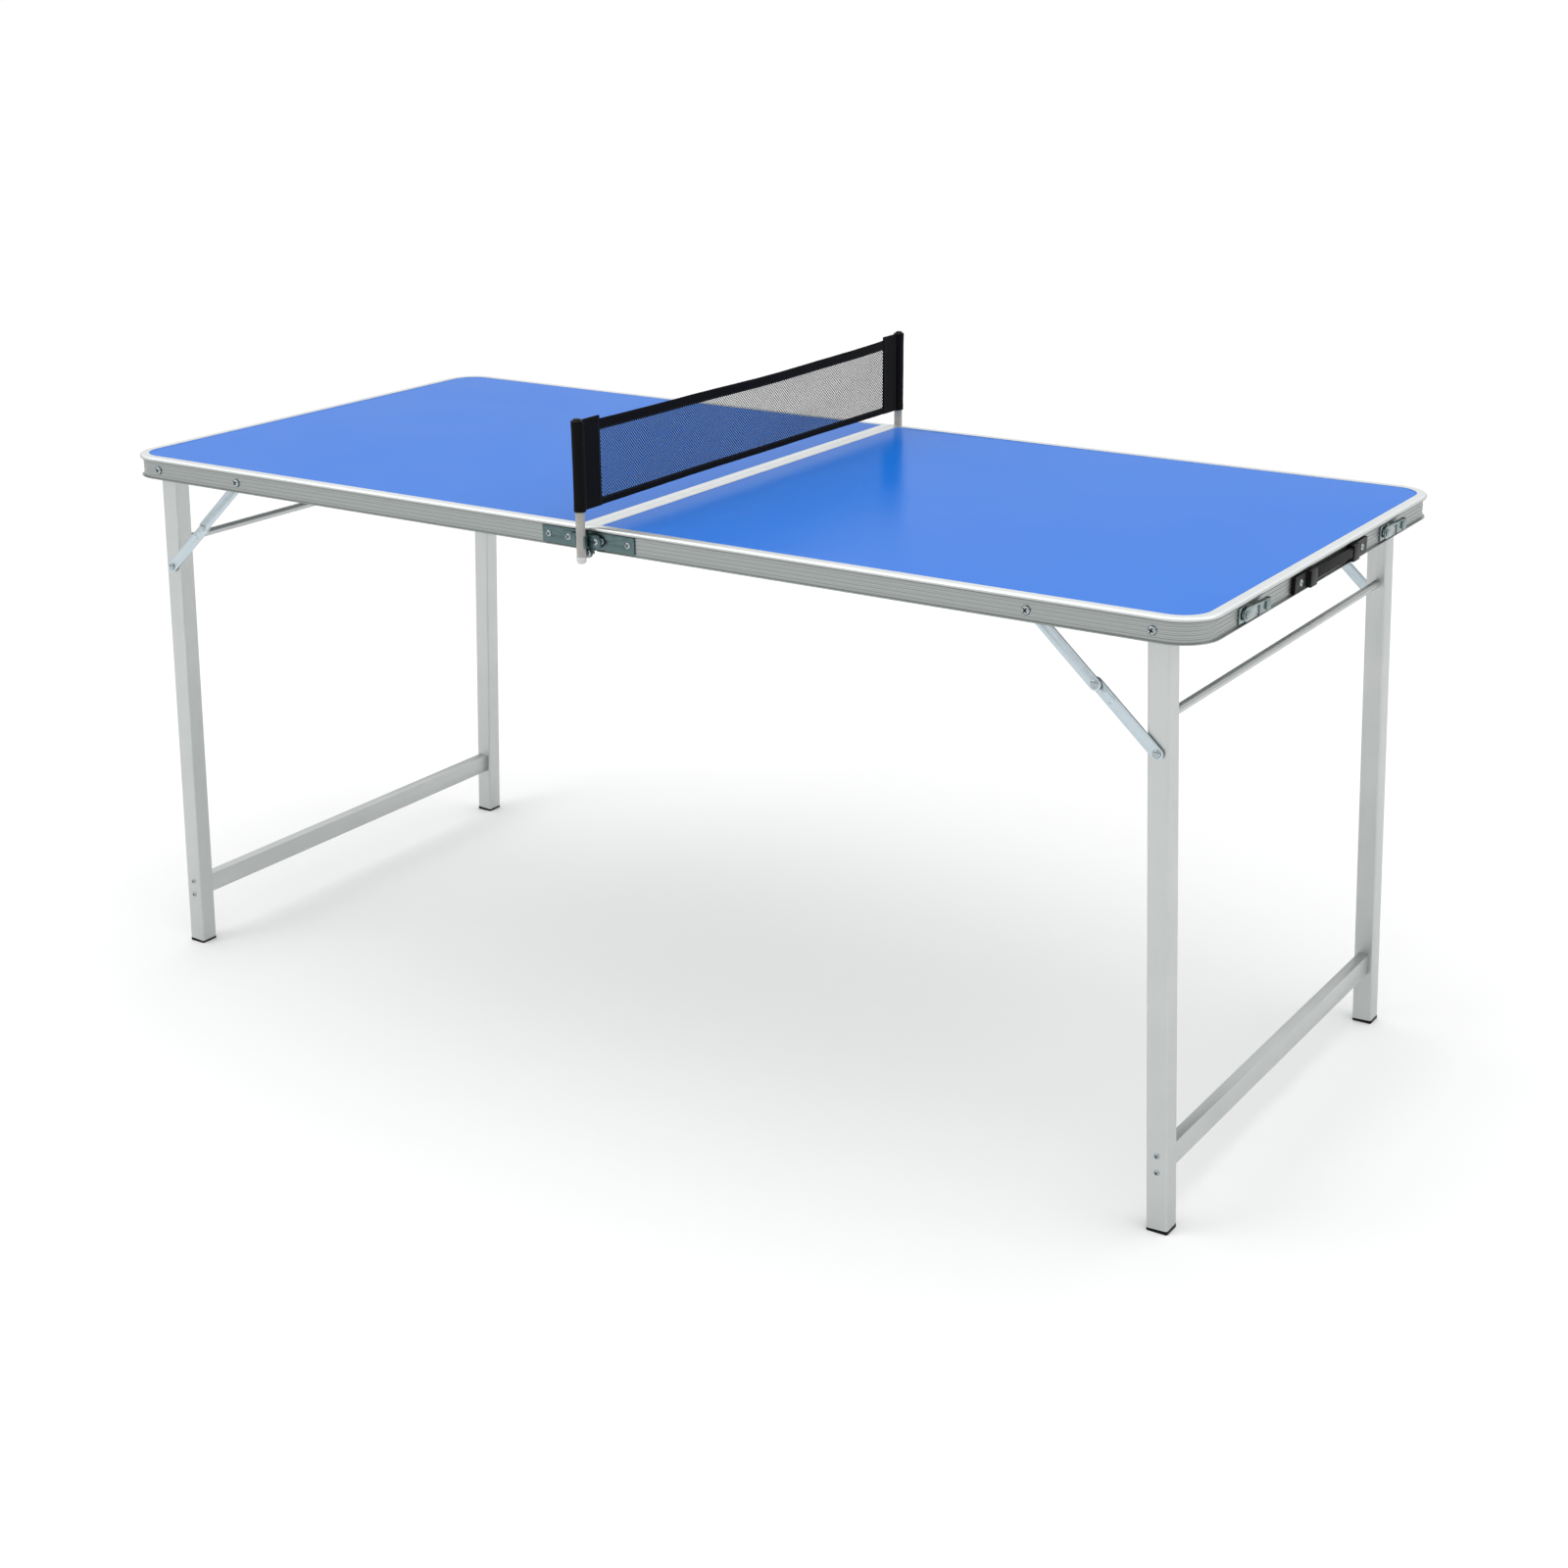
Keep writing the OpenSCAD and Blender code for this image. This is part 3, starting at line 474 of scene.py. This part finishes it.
def turned(bm, profile, around=24):
    """Turns a profile of (radius, height) points about Z; a zero radius closes the end."""
    rings = []
    for radius, height in profile:
        if radius == 0:
            rings.append([bm.verts.new((0, 0, height))])
        else:
            rings.append([
                bm.verts.new((radius * math.cos(a), radius * math.sin(a), height))
                for a in (2 * math.pi * i / around for i in range(around))
            ])
    for first, second in zip(rings, rings[1:]):
        for i in range(around):
            j = (i + 1) % around
            corners = [first[i % len(first)], first[j % len(first)],
                       second[j % len(second)], second[i % len(second)]]
            bm.faces.new(list(dict.fromkeys(corners)))
    return rings


def cross_outline(radius):
    """The outline of a cross recess in a head of this radius."""
    arm, half = radius * 0.56, radius * 0.15
    return [(arm, half), (half, half), (half, arm), (-half, arm), (-half, half), (-arm, half),
            (-arm, -half), (-half, -half), (-half, -arm), (half, -arm), (half, -half), (arm, -half)]


def recess_mesh(radius, height):
    """A black insert at the bottom of a cross recess, just above the bottom of the metal: painted
    shade, where the recess lies in shadow.
    """
    bm = bmesh.new()
    for z in (height * 0.4, height * 0.5):
        bm.faces.new([bm.verts.new((x * 0.9, y * 0.9, z)) for x, y in cross_outline(radius)])
    low, high = ([v for v in face.verts] for face in bm.faces)
    for i in range(12):
        j = (i + 1) % 12
        bm.faces.new((low[i], low[j], high[j], high[i]))
    bmesh.ops.recalc_face_normals(bm, faces=bm.faces)
    return mesh_from(bm, "recess")


def head_mesh(radius, height, recess):
    """A pan head on the XY plane, with a cross recess or, for a rivet, a plain dome."""
    bm = bmesh.new()
    shoulder = [(radius * 0.97, 0), (radius, height * 0.1), (radius * 0.985, height * 0.32),
                (radius * 0.92, height * 0.56), (radius * 0.8, height * 0.78)]
    if not recess:
        turned(bm, [(0, 0)] + shoulder + [(radius * 0.55, height * 0.95), (0, height)])
    else:
        rings = turned(bm, [(0, 0)] + shoulder + [(radius * 0.66, height * 0.94)])
        depth = height * 0.62
        outline = cross_outline(radius)
        rim = [bm.verts.new((x, y, height * 0.97)) for x, y in outline]
        floor = [bm.verts.new((x * 0.8, y * 0.8, height * 0.97 - depth)) for x, y in outline]
        edges = [bm.edges.new((rim[i], rim[(i + 1) % 12])) for i in range(12)]
        edges += ring_edges(bm, rings[-1])
        bmesh.ops.triangle_fill(bm, edges=edges, use_beauty=True)
        for i in range(12):
            j = (i + 1) % 12
            bm.faces.new((rim[i], rim[j], floor[j], floor[i]))
        bm.faces.new(floor)
    bmesh.ops.recalc_face_normals(bm, faces=bm.faces)
    mesh = mesh_from(bm, "head")
    smooth_by_angle(mesh, 40)
    return mesh


def rod_mesh(radius, sides=24):
    """A rod of unit length along Z with a small chamfer at its far end."""
    bm = bmesh.new()
    turned(bm, [(0, 0), (radius, 0), (radius, 0.97), (radius * 0.85, 1), (0, 1)], sides)
    bmesh.ops.recalc_face_normals(bm, faces=bm.faces)
    mesh = mesh_from(bm, "rod")
    smooth_by_angle(mesh, 40)
    return mesh


def points_tree():
    """Sets one shape on every point, turned and scaled by the point's own attributes."""
    tree = bpy.data.node_groups.new("shape_on_points", "GeometryNodeTree")
    for name, kind in (("Points", "NodeSocketGeometry"), ("Shape", "NodeSocketObject"),
                       ("Finish", "NodeSocketMaterial")):
        tree.interface.new_socket(name, in_out="INPUT", socket_type=kind)
    tree.interface.new_socket("Result", in_out="OUTPUT", socket_type="NodeSocketGeometry")
    given = tree.nodes.new("NodeGroupInput").outputs
    shape = add(tree, "GeometryNodeObjectInfo", {"Object": given["Shape"]})
    turn = add(tree, "GeometryNodeInputNamedAttribute", {"Name": "turn"}, data_type="FLOAT_VECTOR")
    size = add(tree, "GeometryNodeInputNamedAttribute", {"Name": "size"}, data_type="FLOAT_VECTOR")
    set_out = add(
        tree, "GeometryNodeInstanceOnPoints",
        {"Points": given["Points"], "Instance": shape.outputs["Geometry"],
         "Rotation": turn.outputs["Attribute"], "Scale": size.outputs["Attribute"]},
    )
    real = add(tree, "GeometryNodeRealizeInstances", {"Geometry": set_out.outputs["Instances"]})
    done = add(
        tree, "GeometryNodeSetMaterial",
        {"Geometry": real.outputs["Geometry"], "Material": given["Finish"]},
    )
    end = tree.nodes.new("NodeGroupOutput")
    tree.links.new(done.outputs["Geometry"], end.inputs["Result"])
    return tree


POINTS_TREE = points_tree()


def set_inputs(modifier, **values):
    """Sets a node tree's named inputs by their sockets' identifiers."""
    for item in modifier.node_group.interface.items_tree:
        if item.item_type == "SOCKET" and item.in_out == "INPUT" and item.name in values:
            modifier[item.identifier] = values[item.name]


def applied(holder, tree, **values):
    """The plain mesh that a node tree makes from holder; holder is removed."""
    bpy.context.scene.collection.objects.link(holder)
    modifier = holder.modifiers.new("made", "NODES")
    modifier.node_group = tree
    set_inputs(modifier, **values)
    graph = bpy.context.evaluated_depsgraph_get()
    mesh = bpy.data.meshes.new_from_object(holder.evaluated_get(graph))
    holder.modifiers.remove(modifier)
    bpy.data.objects.remove(holder)
    mesh.materials.clear()
    mesh.materials.append(values["Finish"])
    for face in mesh.polygons:
        face.material_index = 0
    return mesh


def on_points(spots, shape, material):
    """One plain mesh with shape set on every (place, outward direction, spin, scale) spot."""
    mesh = bpy.data.meshes.new("spots")
    mesh.from_pydata([tuple(spot[0]) for spot in spots], [], [])
    turn = mesh.attributes.new("turn", "FLOAT_VECTOR", "POINT")
    size = mesh.attributes.new("size", "FLOAT_VECTOR", "POINT")
    for i, (_, outward, spin, scale) in enumerate(spots):
        facing = outward.to_track_quat("Z", "Y").to_matrix() @ Matrix.Rotation(spin, 3, "Z")
        turn.data[i].vector = facing.to_euler()
        size.data[i].vector = scale
    source = bpy.data.objects.new("shape", shape)
    bpy.context.scene.collection.objects.link(source)
    made = applied(bpy.data.objects.new("spots", mesh), POINTS_TREE, Shape=source, Finish=material)
    bpy.data.objects.remove(source)
    return made


def joined(name, meshes):
    """Several plain meshes as one."""
    bm = bmesh.new()
    materials = []
    for mesh in meshes:
        start = len(bm.faces)
        bm.from_mesh(mesh)
        bm.faces.ensure_lookup_table()
        for material in mesh.materials:
            if material not in materials:
                materials.append(material)
        for face in bm.faces[start:]:
            face.material_index = materials.index(mesh.materials[0])
    out = mesh_from(bm, name)
    for material in materials:
        out.materials.append(material)
    smooth_by_angle(out, 40)
    return out


def fasteners(node, head_h, axis="y", recess=True, shank_r=1.5):
    """Screws or rivets in the place of a CAD node: on each solid a head, and a shank under it."""
    along = 1 if axis == "y" else 0
    heads, shanks = [], []
    for i, (low, high) in enumerate(loose_solids(node)):
        centre = (low + high) / 2
        outward = Vector((0, 0, 0))
        outward[along] = 1 if centre[along] > 0 else -1
        inner = low[along] if outward[along] > 0 else high[along]
        outer = high[along] if outward[along] > 0 else low[along]
        seat = centre.copy()
        seat[along] = outer - outward[along] * head_h
        foot = centre.copy()
        foot[along] = inner
        radius = (high[2] - low[2]) / 2
        spin = math.radians((17 + 71 * i) % 90)
        heads.append((seat, outward, spin, (1, 1, 1)))
        length = abs(seat[along] - inner)
        if length > 0.2 * MM:
            shanks.append((seat, -outward, 0, (1, 1, length)))
    meshes = [on_points(heads, head_mesh(radius, head_h, recess), BRIGHT)]
    if recess:
        # painted shade: a black insert in each cross recess
        meshes.append(on_points(heads, recess_mesh(radius, head_h), RECESS_SHADE))
    if shanks:
        meshes.append(on_points(shanks, rod_mesh(shank_r * MM), BRIGHT))
    return piece(
        f"{node}_detailed", joined(f"{node}_detailed", meshes), BODY_OF[node], (node,),
    )


fasteners("hinge_screws_left", 1.6 * MM)
fasteners("hinge_screws_right", 1.6 * MM)
fasteners("net_clip_rivets", 1.6 * MM)
fasteners("handle_screws", 1.6 * MM, axis="x")
fasteners("hinge_pins", 2.2 * MM, recess=False, shank_r=2.2)
for side in SIDES:
    fasteners(f"{side}_bar_screws", 1.6 * MM)
    fasteners(f"{side}_frame_bolts", 2.6 * MM, shank_r=3.0)
    eased(f"{side}_brace_pins", 0.35 * MM, BRIGHT)


# ---- net -----------------------------------------------------------------------
MESH_LOW, MESH_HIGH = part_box("net_mesh")
SLEEVE_LOW, SLEEVE_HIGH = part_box("net_sleeves")
TOP_LOW, TOP_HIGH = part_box("net_top_band")
FOOT_LOW, FOOT_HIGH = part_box("net_low_band")
POST_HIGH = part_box("net_posts")[1]
HEM_Y = MESH_HIGH.y
TOP_SAG = 3.2 * MM  # of the top edge, at mid net
LOW_LIFT = 0.9 * MM  # of the lower edge, at mid net
WAVE = 1.5 * MM  # sideways, in a slow wave along the net
WAVES = 2 * math.pi / 0.29  # turns of that wave, in radians per metre
PHASE = 0.9
FOLD = 2.0 * MM  # sideways, at the slack fold
FOLD_SPAN = 0.18  # half width of the fold, as a share of the net's height
FOLD_START, FOLD_LENGTH = -0.04, 0.32  # along Y, in metres


def hang(y, z):
    """(sideways, upward) shift of the net at y and z, from its flat place. It fades out at the
    sleeves. The top edge sags, most towards the far post, and one slack fold runs up the cloth."""
    share = y / HEM_Y
    fade = max(0.0, 1 - share * share)
    rise = min(1.0, max(0.0, (z - FOOT_LOW.z) / (TOP_HIGH.z - FOOT_LOW.z)))
    up = rise * -TOP_SAG * fade * (1 + 0.5 * share)
    up += (1 - rise) * LOW_LIFT * fade * (1 - 0.6 * share)
    side = WAVE * fade * math.sin(WAVES * y + PHASE) * (0.4 + 0.6 * rise)
    along = (y - FOLD_START) / FOLD_LENGTH
    if 0 < along < 1:
        ridge = 0.15 + 0.5 * along
        side += FOLD * math.sin(math.pi * along) * math.sin(math.pi * rise) * math.exp(
            -(((rise - ridge) / FOLD_SPAN) ** 2)
        )
    return side, up


def hung(mesh):
    """Moves a flat net piece to where the net hangs."""
    for vertex in mesh.vertices:
        side, up = hang(vertex.co.y, vertex.co.z)
        vertex.co.x += side
        vertex.co.z += up
    mesh.update()


def strands_tree():
    """Slanted yarns between two edges of a net: one family, leaning by Lean (1 or -1)."""
    tree = bpy.data.node_groups.new("net_strands", "GeometryNodeTree")
    tree.interface.new_socket("Yarns", in_out="INPUT", socket_type="NodeSocketInt")
    for name in ("Pitch", "Lean", "Half width", "Bottom", "Height", "Yarn radius", "Layer"):
        tree.interface.new_socket(name, in_out="INPUT", socket_type="NodeSocketFloat")
    tree.interface.new_socket("Finish", in_out="INPUT", socket_type="NodeSocketMaterial")
    tree.interface.new_socket("Result", in_out="OUTPUT", socket_type="NodeSocketGeometry")
    given = tree.nodes.new("NodeGroupInput").outputs

    def math_of(operation, *values):
        return maths(tree, operation, *values)

    row = add(tree, "GeometryNodeMeshLine", {"Count": given["Yarns"]})
    index = add(tree, "GeometryNodeInputIndex").outputs["Index"]
    # where yarn i leaves the lower edge, measured from the middle along the lean
    reach = math_of("ADD", given["Half width"], given["Height"])
    start = math_of("SUBTRACT", math_of("MULTIPLY", index, given["Pitch"]), reach)
    near_edge = math_of("MULTIPLY", given["Half width"], -1.0)
    first = math_of("MAXIMUM", 0.0, math_of("SUBTRACT", near_edge, start))
    last = math_of("MINIMUM", given["Height"], math_of("SUBTRACT", given["Half width"], start))
    kept = row.outputs["Mesh"]
    for name, value in (("start", start), ("first", first), ("last", last)):
        kept = add(
            tree, "GeometryNodeStoreNamedAttribute",
            {"Geometry": kept, "Name": name, "Value": value}, data_type="FLOAT", domain="POINT",
        ).outputs["Geometry"]
    short = add(
        tree, "FunctionNodeCompare", {0: math_of("SUBTRACT", last, first), 1: 0.0003},
        data_type="FLOAT", operation="LESS_THAN",
    )
    kept = add(
        tree, "GeometryNodeDeleteGeometry",
        {"Geometry": kept, "Selection": short.outputs["Result"]}, domain="POINT",
    ).outputs["Geometry"]
    line = add(tree, "GeometryNodeCurvePrimitiveLine", {"End": (0, 0, 1)})
    line = add(tree, "GeometryNodeResampleCurve", {"Curve": line.outputs["Curve"], "Count": 17})
    yarns = add(
        tree, "GeometryNodeInstanceOnPoints",
        {"Points": kept, "Instance": line.outputs["Curve"]},
    )
    yarns = add(tree, "GeometryNodeRealizeInstances", {"Geometry": yarns.outputs["Instances"]})
    along = add(tree, "GeometryNodeSplineParameter").outputs["Factor"]
    read = {
        name: add(tree, "GeometryNodeInputNamedAttribute", {"Name": name}, data_type="FLOAT")
        .outputs["Attribute"] for name in ("start", "first", "last")
    }
    length = math_of("SUBTRACT", read["last"], read["first"])
    up = math_of("ADD", read["first"], math_of("MULTIPLY", along, length))
    y = math_of("MULTIPLY", math_of("ADD", read["start"], up), given["Lean"])
    z = math_of("ADD", up, given["Bottom"])
    spot = add(tree, "ShaderNodeCombineXYZ", {"X": given["Layer"], "Y": y, "Z": z})
    laid = add(
        tree, "GeometryNodeSetPosition",
        {"Geometry": yarns.outputs["Geometry"], "Position": spot.outputs["Vector"]},
    )
    round_yarn = add(
        tree, "GeometryNodeCurvePrimitiveCircle", {"Resolution": 5, "Radius": given["Yarn radius"]}
    )
    solid = add(
        tree, "GeometryNodeCurveToMesh",
        {"Curve": laid.outputs["Geometry"], "Profile Curve": round_yarn.outputs["Curve"],
         "Fill Caps": True},
    )
    done = add(
        tree, "GeometryNodeSetMaterial",
        {"Geometry": solid.outputs["Mesh"], "Material": given["Finish"]},
    )
    end = tree.nodes.new("NodeGroupOutput")
    tree.links.new(done.outputs["Geometry"], end.inputs["Result"])
    return tree


TUCK = 2 * MM  # of the cloth into the bands and sleeves, on every side
YARN_RADIUS = 0.4 * MM
YARN_PITCH = 3.0 * MM  # square to the yarns


def net_cloth():
    """Diagonal net of 0.8 mm yarns, 3 mm apart, tucked into the bands and sleeves."""
    pitch = YARN_PITCH * math.sqrt(2)
    height = MESH_HIGH.z - MESH_LOW.z + 2 * TUCK
    half = HEM_Y + TUCK
    tree = strands_tree()
    families = []
    for lean in (1, -1):
        holder = bpy.data.objects.new("yarns", bpy.data.meshes.new("yarns"))
        families.append(applied(
            holder, tree, Yarns=int((2 * half + height) / pitch) + 2, Pitch=pitch,
            Lean=float(lean), **{"Half width": half, "Yarn radius": YARN_RADIUS},
            Bottom=MESH_LOW.z - TUCK, Height=height, Layer=lean * 0.16 * MM, Finish=CORD,
        ))
    mesh = joined("net_cloth", families)
    hung(mesh)
    return piece("net_cloth", mesh, "net_set", ("net_mesh",))


def pucker(y):
    """Small sideways waves that the sewing leaves in a tape."""
    return 0.10 * MM * math.sin(y / (1.7 * MM)) + 0.16 * MM * math.sin(y / (9 * MM) + 0.7)


def band(name, node, fold_up):
    """Woven tape folded over the edge of the net: two soft layers, round at the fold."""
    low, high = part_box(node)
    middle, half_h = (low.z + high.z) / 2, (high.z - low.z) / 2
    bm = bmesh.new()
    loops = []
    steps = 170
    for i in range(steps + 1):
        y = -HEM_Y - 1 * MM + (2 * HEM_Y + 2 * MM) * i / steps
        loop = []
        for j in range(20):
            a = 2 * math.pi * j / 20
            up = math.sin(a)
            # blunt ellipse: nearly flat faces, a round fold and a thinner sewn edge
            thick = 0.95 * MM if (up > 0) == fold_up else 0.72 * MM
            x = math.copysign(abs(math.cos(a)) ** 0.35, math.cos(a)) * thick
            z = math.copysign(abs(up) ** 0.9, up) * half_h
            loop.append((x + pucker(y), y, middle + z))
        loops.append(loop)
    swept(bm, loops)
    mesh = mesh_from(bm, name, WOVEN)
    hung(mesh)
    smooth_by_angle(mesh, 60)
    return piece(name, mesh, "net_set", (node,))


def sleeve_outline(post_y, side, level, share):
    """Outline of a sleeve at one level: round the post, then two layers flat to the hem."""
    radius = SLEEVE_HIGH.y - post_y - 0.35 * MM
    flat = 0.95 * MM
    hem = HEM_Y - 1.5 * MM
    points = []
    neck = math.asin(flat / radius)
    turns = 26
    for i in range(turns + 1):
        a = -math.pi / 2 + neck + (2 * math.pi - 2 * neck) * i / turns
        # the layers leave the tube at a tangent, not in a sharp corner
        pull = 0.5 + 0.5 * math.cos(a + math.pi / 2)
        r = radius * (1 + 0.20 * pull ** 6)
        wrinkle = 0.16 * MM * math.sin(5 * a + 40 * level) * math.sin(math.pi * share)
        r += wrinkle
        points.append((r * math.cos(a), r * math.sin(a)))
    reach = post_y - hem
    steps = 12
    for i in range(1, steps + 1):
        run = i / steps
        y = -(radius + 1.2 * MM) - (reach - radius - 1.2 * MM) * run
        ripple = 0.6 + 0.4 * math.sin(60 * level + 2 * run)
        puff = 0.35 * MM * math.sin(math.pi * run) * ripple
        points.append((-flat - puff, y))
    for i in range(steps, 0, -1):
        run = i / steps
        y = -(radius + 1.2 * MM) - (reach - radius - 1.2 * MM) * run
        ripple = 0.6 + 0.4 * math.sin(50 * level + 2 * run + 1)
        puff = 0.35 * MM * math.sin(math.pi * run) * ripple
        points.append((flat + puff, y))
    hem_fold = 0.22 * MM * (1 if share < 0.085 or share > 0.915 else 0)
    out = []
    for x, y in points:
        away = Vector((x, y))
        grow = 1 + hem_fold / max(away.length, 1 * MM) if abs(y) < radius * 1.2 else 1
        thicker = math.copysign(hem_fold, x) if abs(y) >= radius * 1.2 else 0
        out.append((x * grow + thicker, side * (post_y + y * grow), level))
    return out


def sleeves():
    """The two cloth sleeves that slip over the posts, with a folded hem at top and bottom."""
    post_y = (POST_HIGH.y + post_inner()) / 2
    inner_r = POST_HIGH.y - post_y + 0.08 * MM
    meshes = []
    for side in (-1, 1):
        bm = bmesh.new()
        steps = 44
        height = SLEEVE_HIGH.z - SLEEVE_LOW.z
        outer = [
            [bm.verts.new(point) for point in
             sleeve_outline(post_y, side, SLEEVE_LOW.z + height * i / steps, i / steps)]
            for i in range(steps + 1)
        ]
        ring_walls(bm, outer)
        bore = [
            [bm.verts.new((inner_r * math.cos(a), side * post_y + inner_r * math.sin(a), z))
             for a in (2 * math.pi * k / 24 for k in range(24))]
            for z in (SLEEVE_LOW.z, SLEEVE_HIGH.z)
        ]
        ring_walls(bm, bore)
        for ring, hole in ((outer[0], bore[0]), (outer[-1], bore[1])):
            edges = ring_edges(bm, ring) + ring_edges(bm, hole)
            bmesh.ops.triangle_fill(bm, edges=edges, use_beauty=True)
        bmesh.ops.recalc_face_normals(bm, faces=bm.faces)
        meshes.append(mesh_from(bm, "sleeve", WOVEN))
    mesh = joined("net_sleeves_sewn", meshes)
    smooth_by_angle(mesh, 50)
    return piece("net_sleeves_sewn", mesh, "net_set", ("net_sleeves",))


def post_inner():
    """Inner side of the far post, from the post's own solids."""
    return max(low.y for low, high in loose_solids("net_posts"))


def stitch_mesh():
    """One stitch along X: a short thread that dips at both ends."""
    bm = bmesh.new()
    length, radius = 2.3 * MM, 0.22 * MM
    loops = []
    for share in (0, 0.15, 0.5, 0.85, 1):
        x = (share - 0.5) * length
        lift = radius * (1.0 if 0 < share < 1 else -0.6)
        r = radius * (1.0 if 0 < share < 1 else 0.55)
        loops.append([(x, r * math.cos(a), lift + r * math.sin(a))
                      for a in (2 * math.pi * k / 6 for k in range(6))])
    swept(bm, loops)
    mesh = mesh_from(bm, "stitch")
    smooth_by_angle(mesh, 60)
    return mesh


def seams():
    """Rows of stitches on both faces: along each band, and down each sleeve."""
    pitch = 3.1 * MM
    spots = []
    count = int(2 * HEM_Y / pitch)
    for z, face in ((TOP_LOW.z + 1.8 * MM, 0.75 * MM), (FOOT_HIGH.z - 1.6 * MM, 0.75 * MM)):
        for i in range(count):
            y = -HEM_Y + pitch * (i + 0.5)
            for side in (-1, 1):
                at = Vector((pucker(y) + side * face, y, z))
                spots.append((at, Vector((side, 0, 0)), 0, (1, 1, 1)))
    post_y = (POST_HIGH.y + post_inner()) / 2
    rows = (HEM_Y + 1.2 * MM, post_y - 11 * MM)
    height = SLEEVE_HIGH.z - SLEEVE_LOW.z
    for end in (-1, 1):
        for row in rows:
            for i in range(int((height - 4 * MM) / pitch)):
                z = SLEEVE_LOW.z + 3 * MM + pitch * i
                for side in (-1, 1):
                    at = Vector((side * 1.12 * MM, end * row, z))
                    spots.append((at, Vector((side, 0, 0)), math.pi / 2, (1, 1, 1)))
    mesh = on_points(spots, stitch_mesh(), THREAD)
    hung(mesh)
    smooth_by_angle(mesh, 60)
    return piece("net_stitches", mesh, "net_set", ())


cloth = net_cloth()
top_band = band("net_top_tape", "net_top_band", True)
low_band = band("net_low_tape", "net_low_band", False)
sewn_sleeves = sleeves()
stitches = seams()


# ---- studio --------------------------------------------------------------------
WALL_GLOW = 0.45
CEILING_GLOW = 1.1


def studio():
    """A wide pale floor, an even pale surround and three large soft lights."""
    material, tree, shader = new_material("pale_floor", Roughness=0.85)
    cloud = noise(tree, place(tree), 0.8, 2.0)
    tree.links.new(tint(tree, cloud, "#FAFAFA", "#FCFCFC"), shader.inputs["Base Color"])
    bm = bmesh.new()
    bmesh.ops.create_circle(bm, cap_ends=True, segments=96, radius=90)
    floor = bpy.data.objects.new("floor", mesh_from(bm, "floor", material))
    bpy.context.scene.collection.objects.link(floor)
    world = bpy.data.worlds.new("surround")
    world.use_nodes = True
    sky = world.node_tree
    direction = add(sky, "ShaderNodeTexCoord").outputs["Generated"]
    rise = height_of(sky, direction)
    # soft white ceiling over dimmer walls, so that upright metal has something to reflect
    glow = add(
        sky, "ShaderNodeMapRange",
        {"Value": rise, "From Min": 0.0, "From Max": 0.5, "To Min": WALL_GLOW,
         "To Max": CEILING_GLOW}, interpolation_type="SMOOTHSTEP",
    ).outputs["Result"]
    sky.links.new(glow, sky.nodes["Background"].inputs["Strength"])
    sky.nodes["Background"].inputs["Color"].default_value = linear("#FFFFFF")
    bpy.context.scene.world = world
    centre = Vector((0, 0, 0.6))
    for name, place_at, size, power in (
        ("key", (-2.6, -3.2, 3.4), 2.2, 26),
        ("overhead", (0.6, 0.0, 4.2), 3.0, 12),
        ("side", (4.0, 0.6, 2.2), 2.4, 10),
    ):
        light = bpy.data.lights.new(name, "AREA")
        light.size = size
        light.energy = power
        lamp = bpy.data.objects.new(name, light)
        lamp.location = place_at
        lamp.rotation_euler = (centre - Vector(place_at)).to_track_quat("-Z", "Y").to_euler()
        bpy.context.scene.collection.objects.link(lamp)
    bpy.context.scene.view_settings.view_transform = "Standard"


def camera():
    """The view from beyond the right end, a little above the table."""
    yaw, pitch, roll = math.radians(33.374), math.radians(19.890), math.radians(-0.419)
    level = math.cos(pitch)
    back = Vector((math.sin(yaw) * level, -math.cos(yaw) * level, math.sin(pitch)))
    right = Vector((math.cos(yaw), math.sin(yaw), 0))
    up = back.cross(right)
    across = math.cos(roll) * right + math.sin(roll) * up
    upward = math.cos(roll) * up - math.sin(roll) * right
    lens = bpy.data.cameras.new("camera")
    lens.lens = 54.40
    lens.sensor_width = 36
    made = bpy.data.objects.new("camera", lens)
    made.matrix_world = Matrix.Translation((1.6456, -2.4350, 1.3414)) @ Matrix(
        (across, upward, back)
    ).transposed().to_4x4()
    bpy.context.scene.collection.objects.link(made)
    bpy.context.scene.camera = made


studio()
camera()
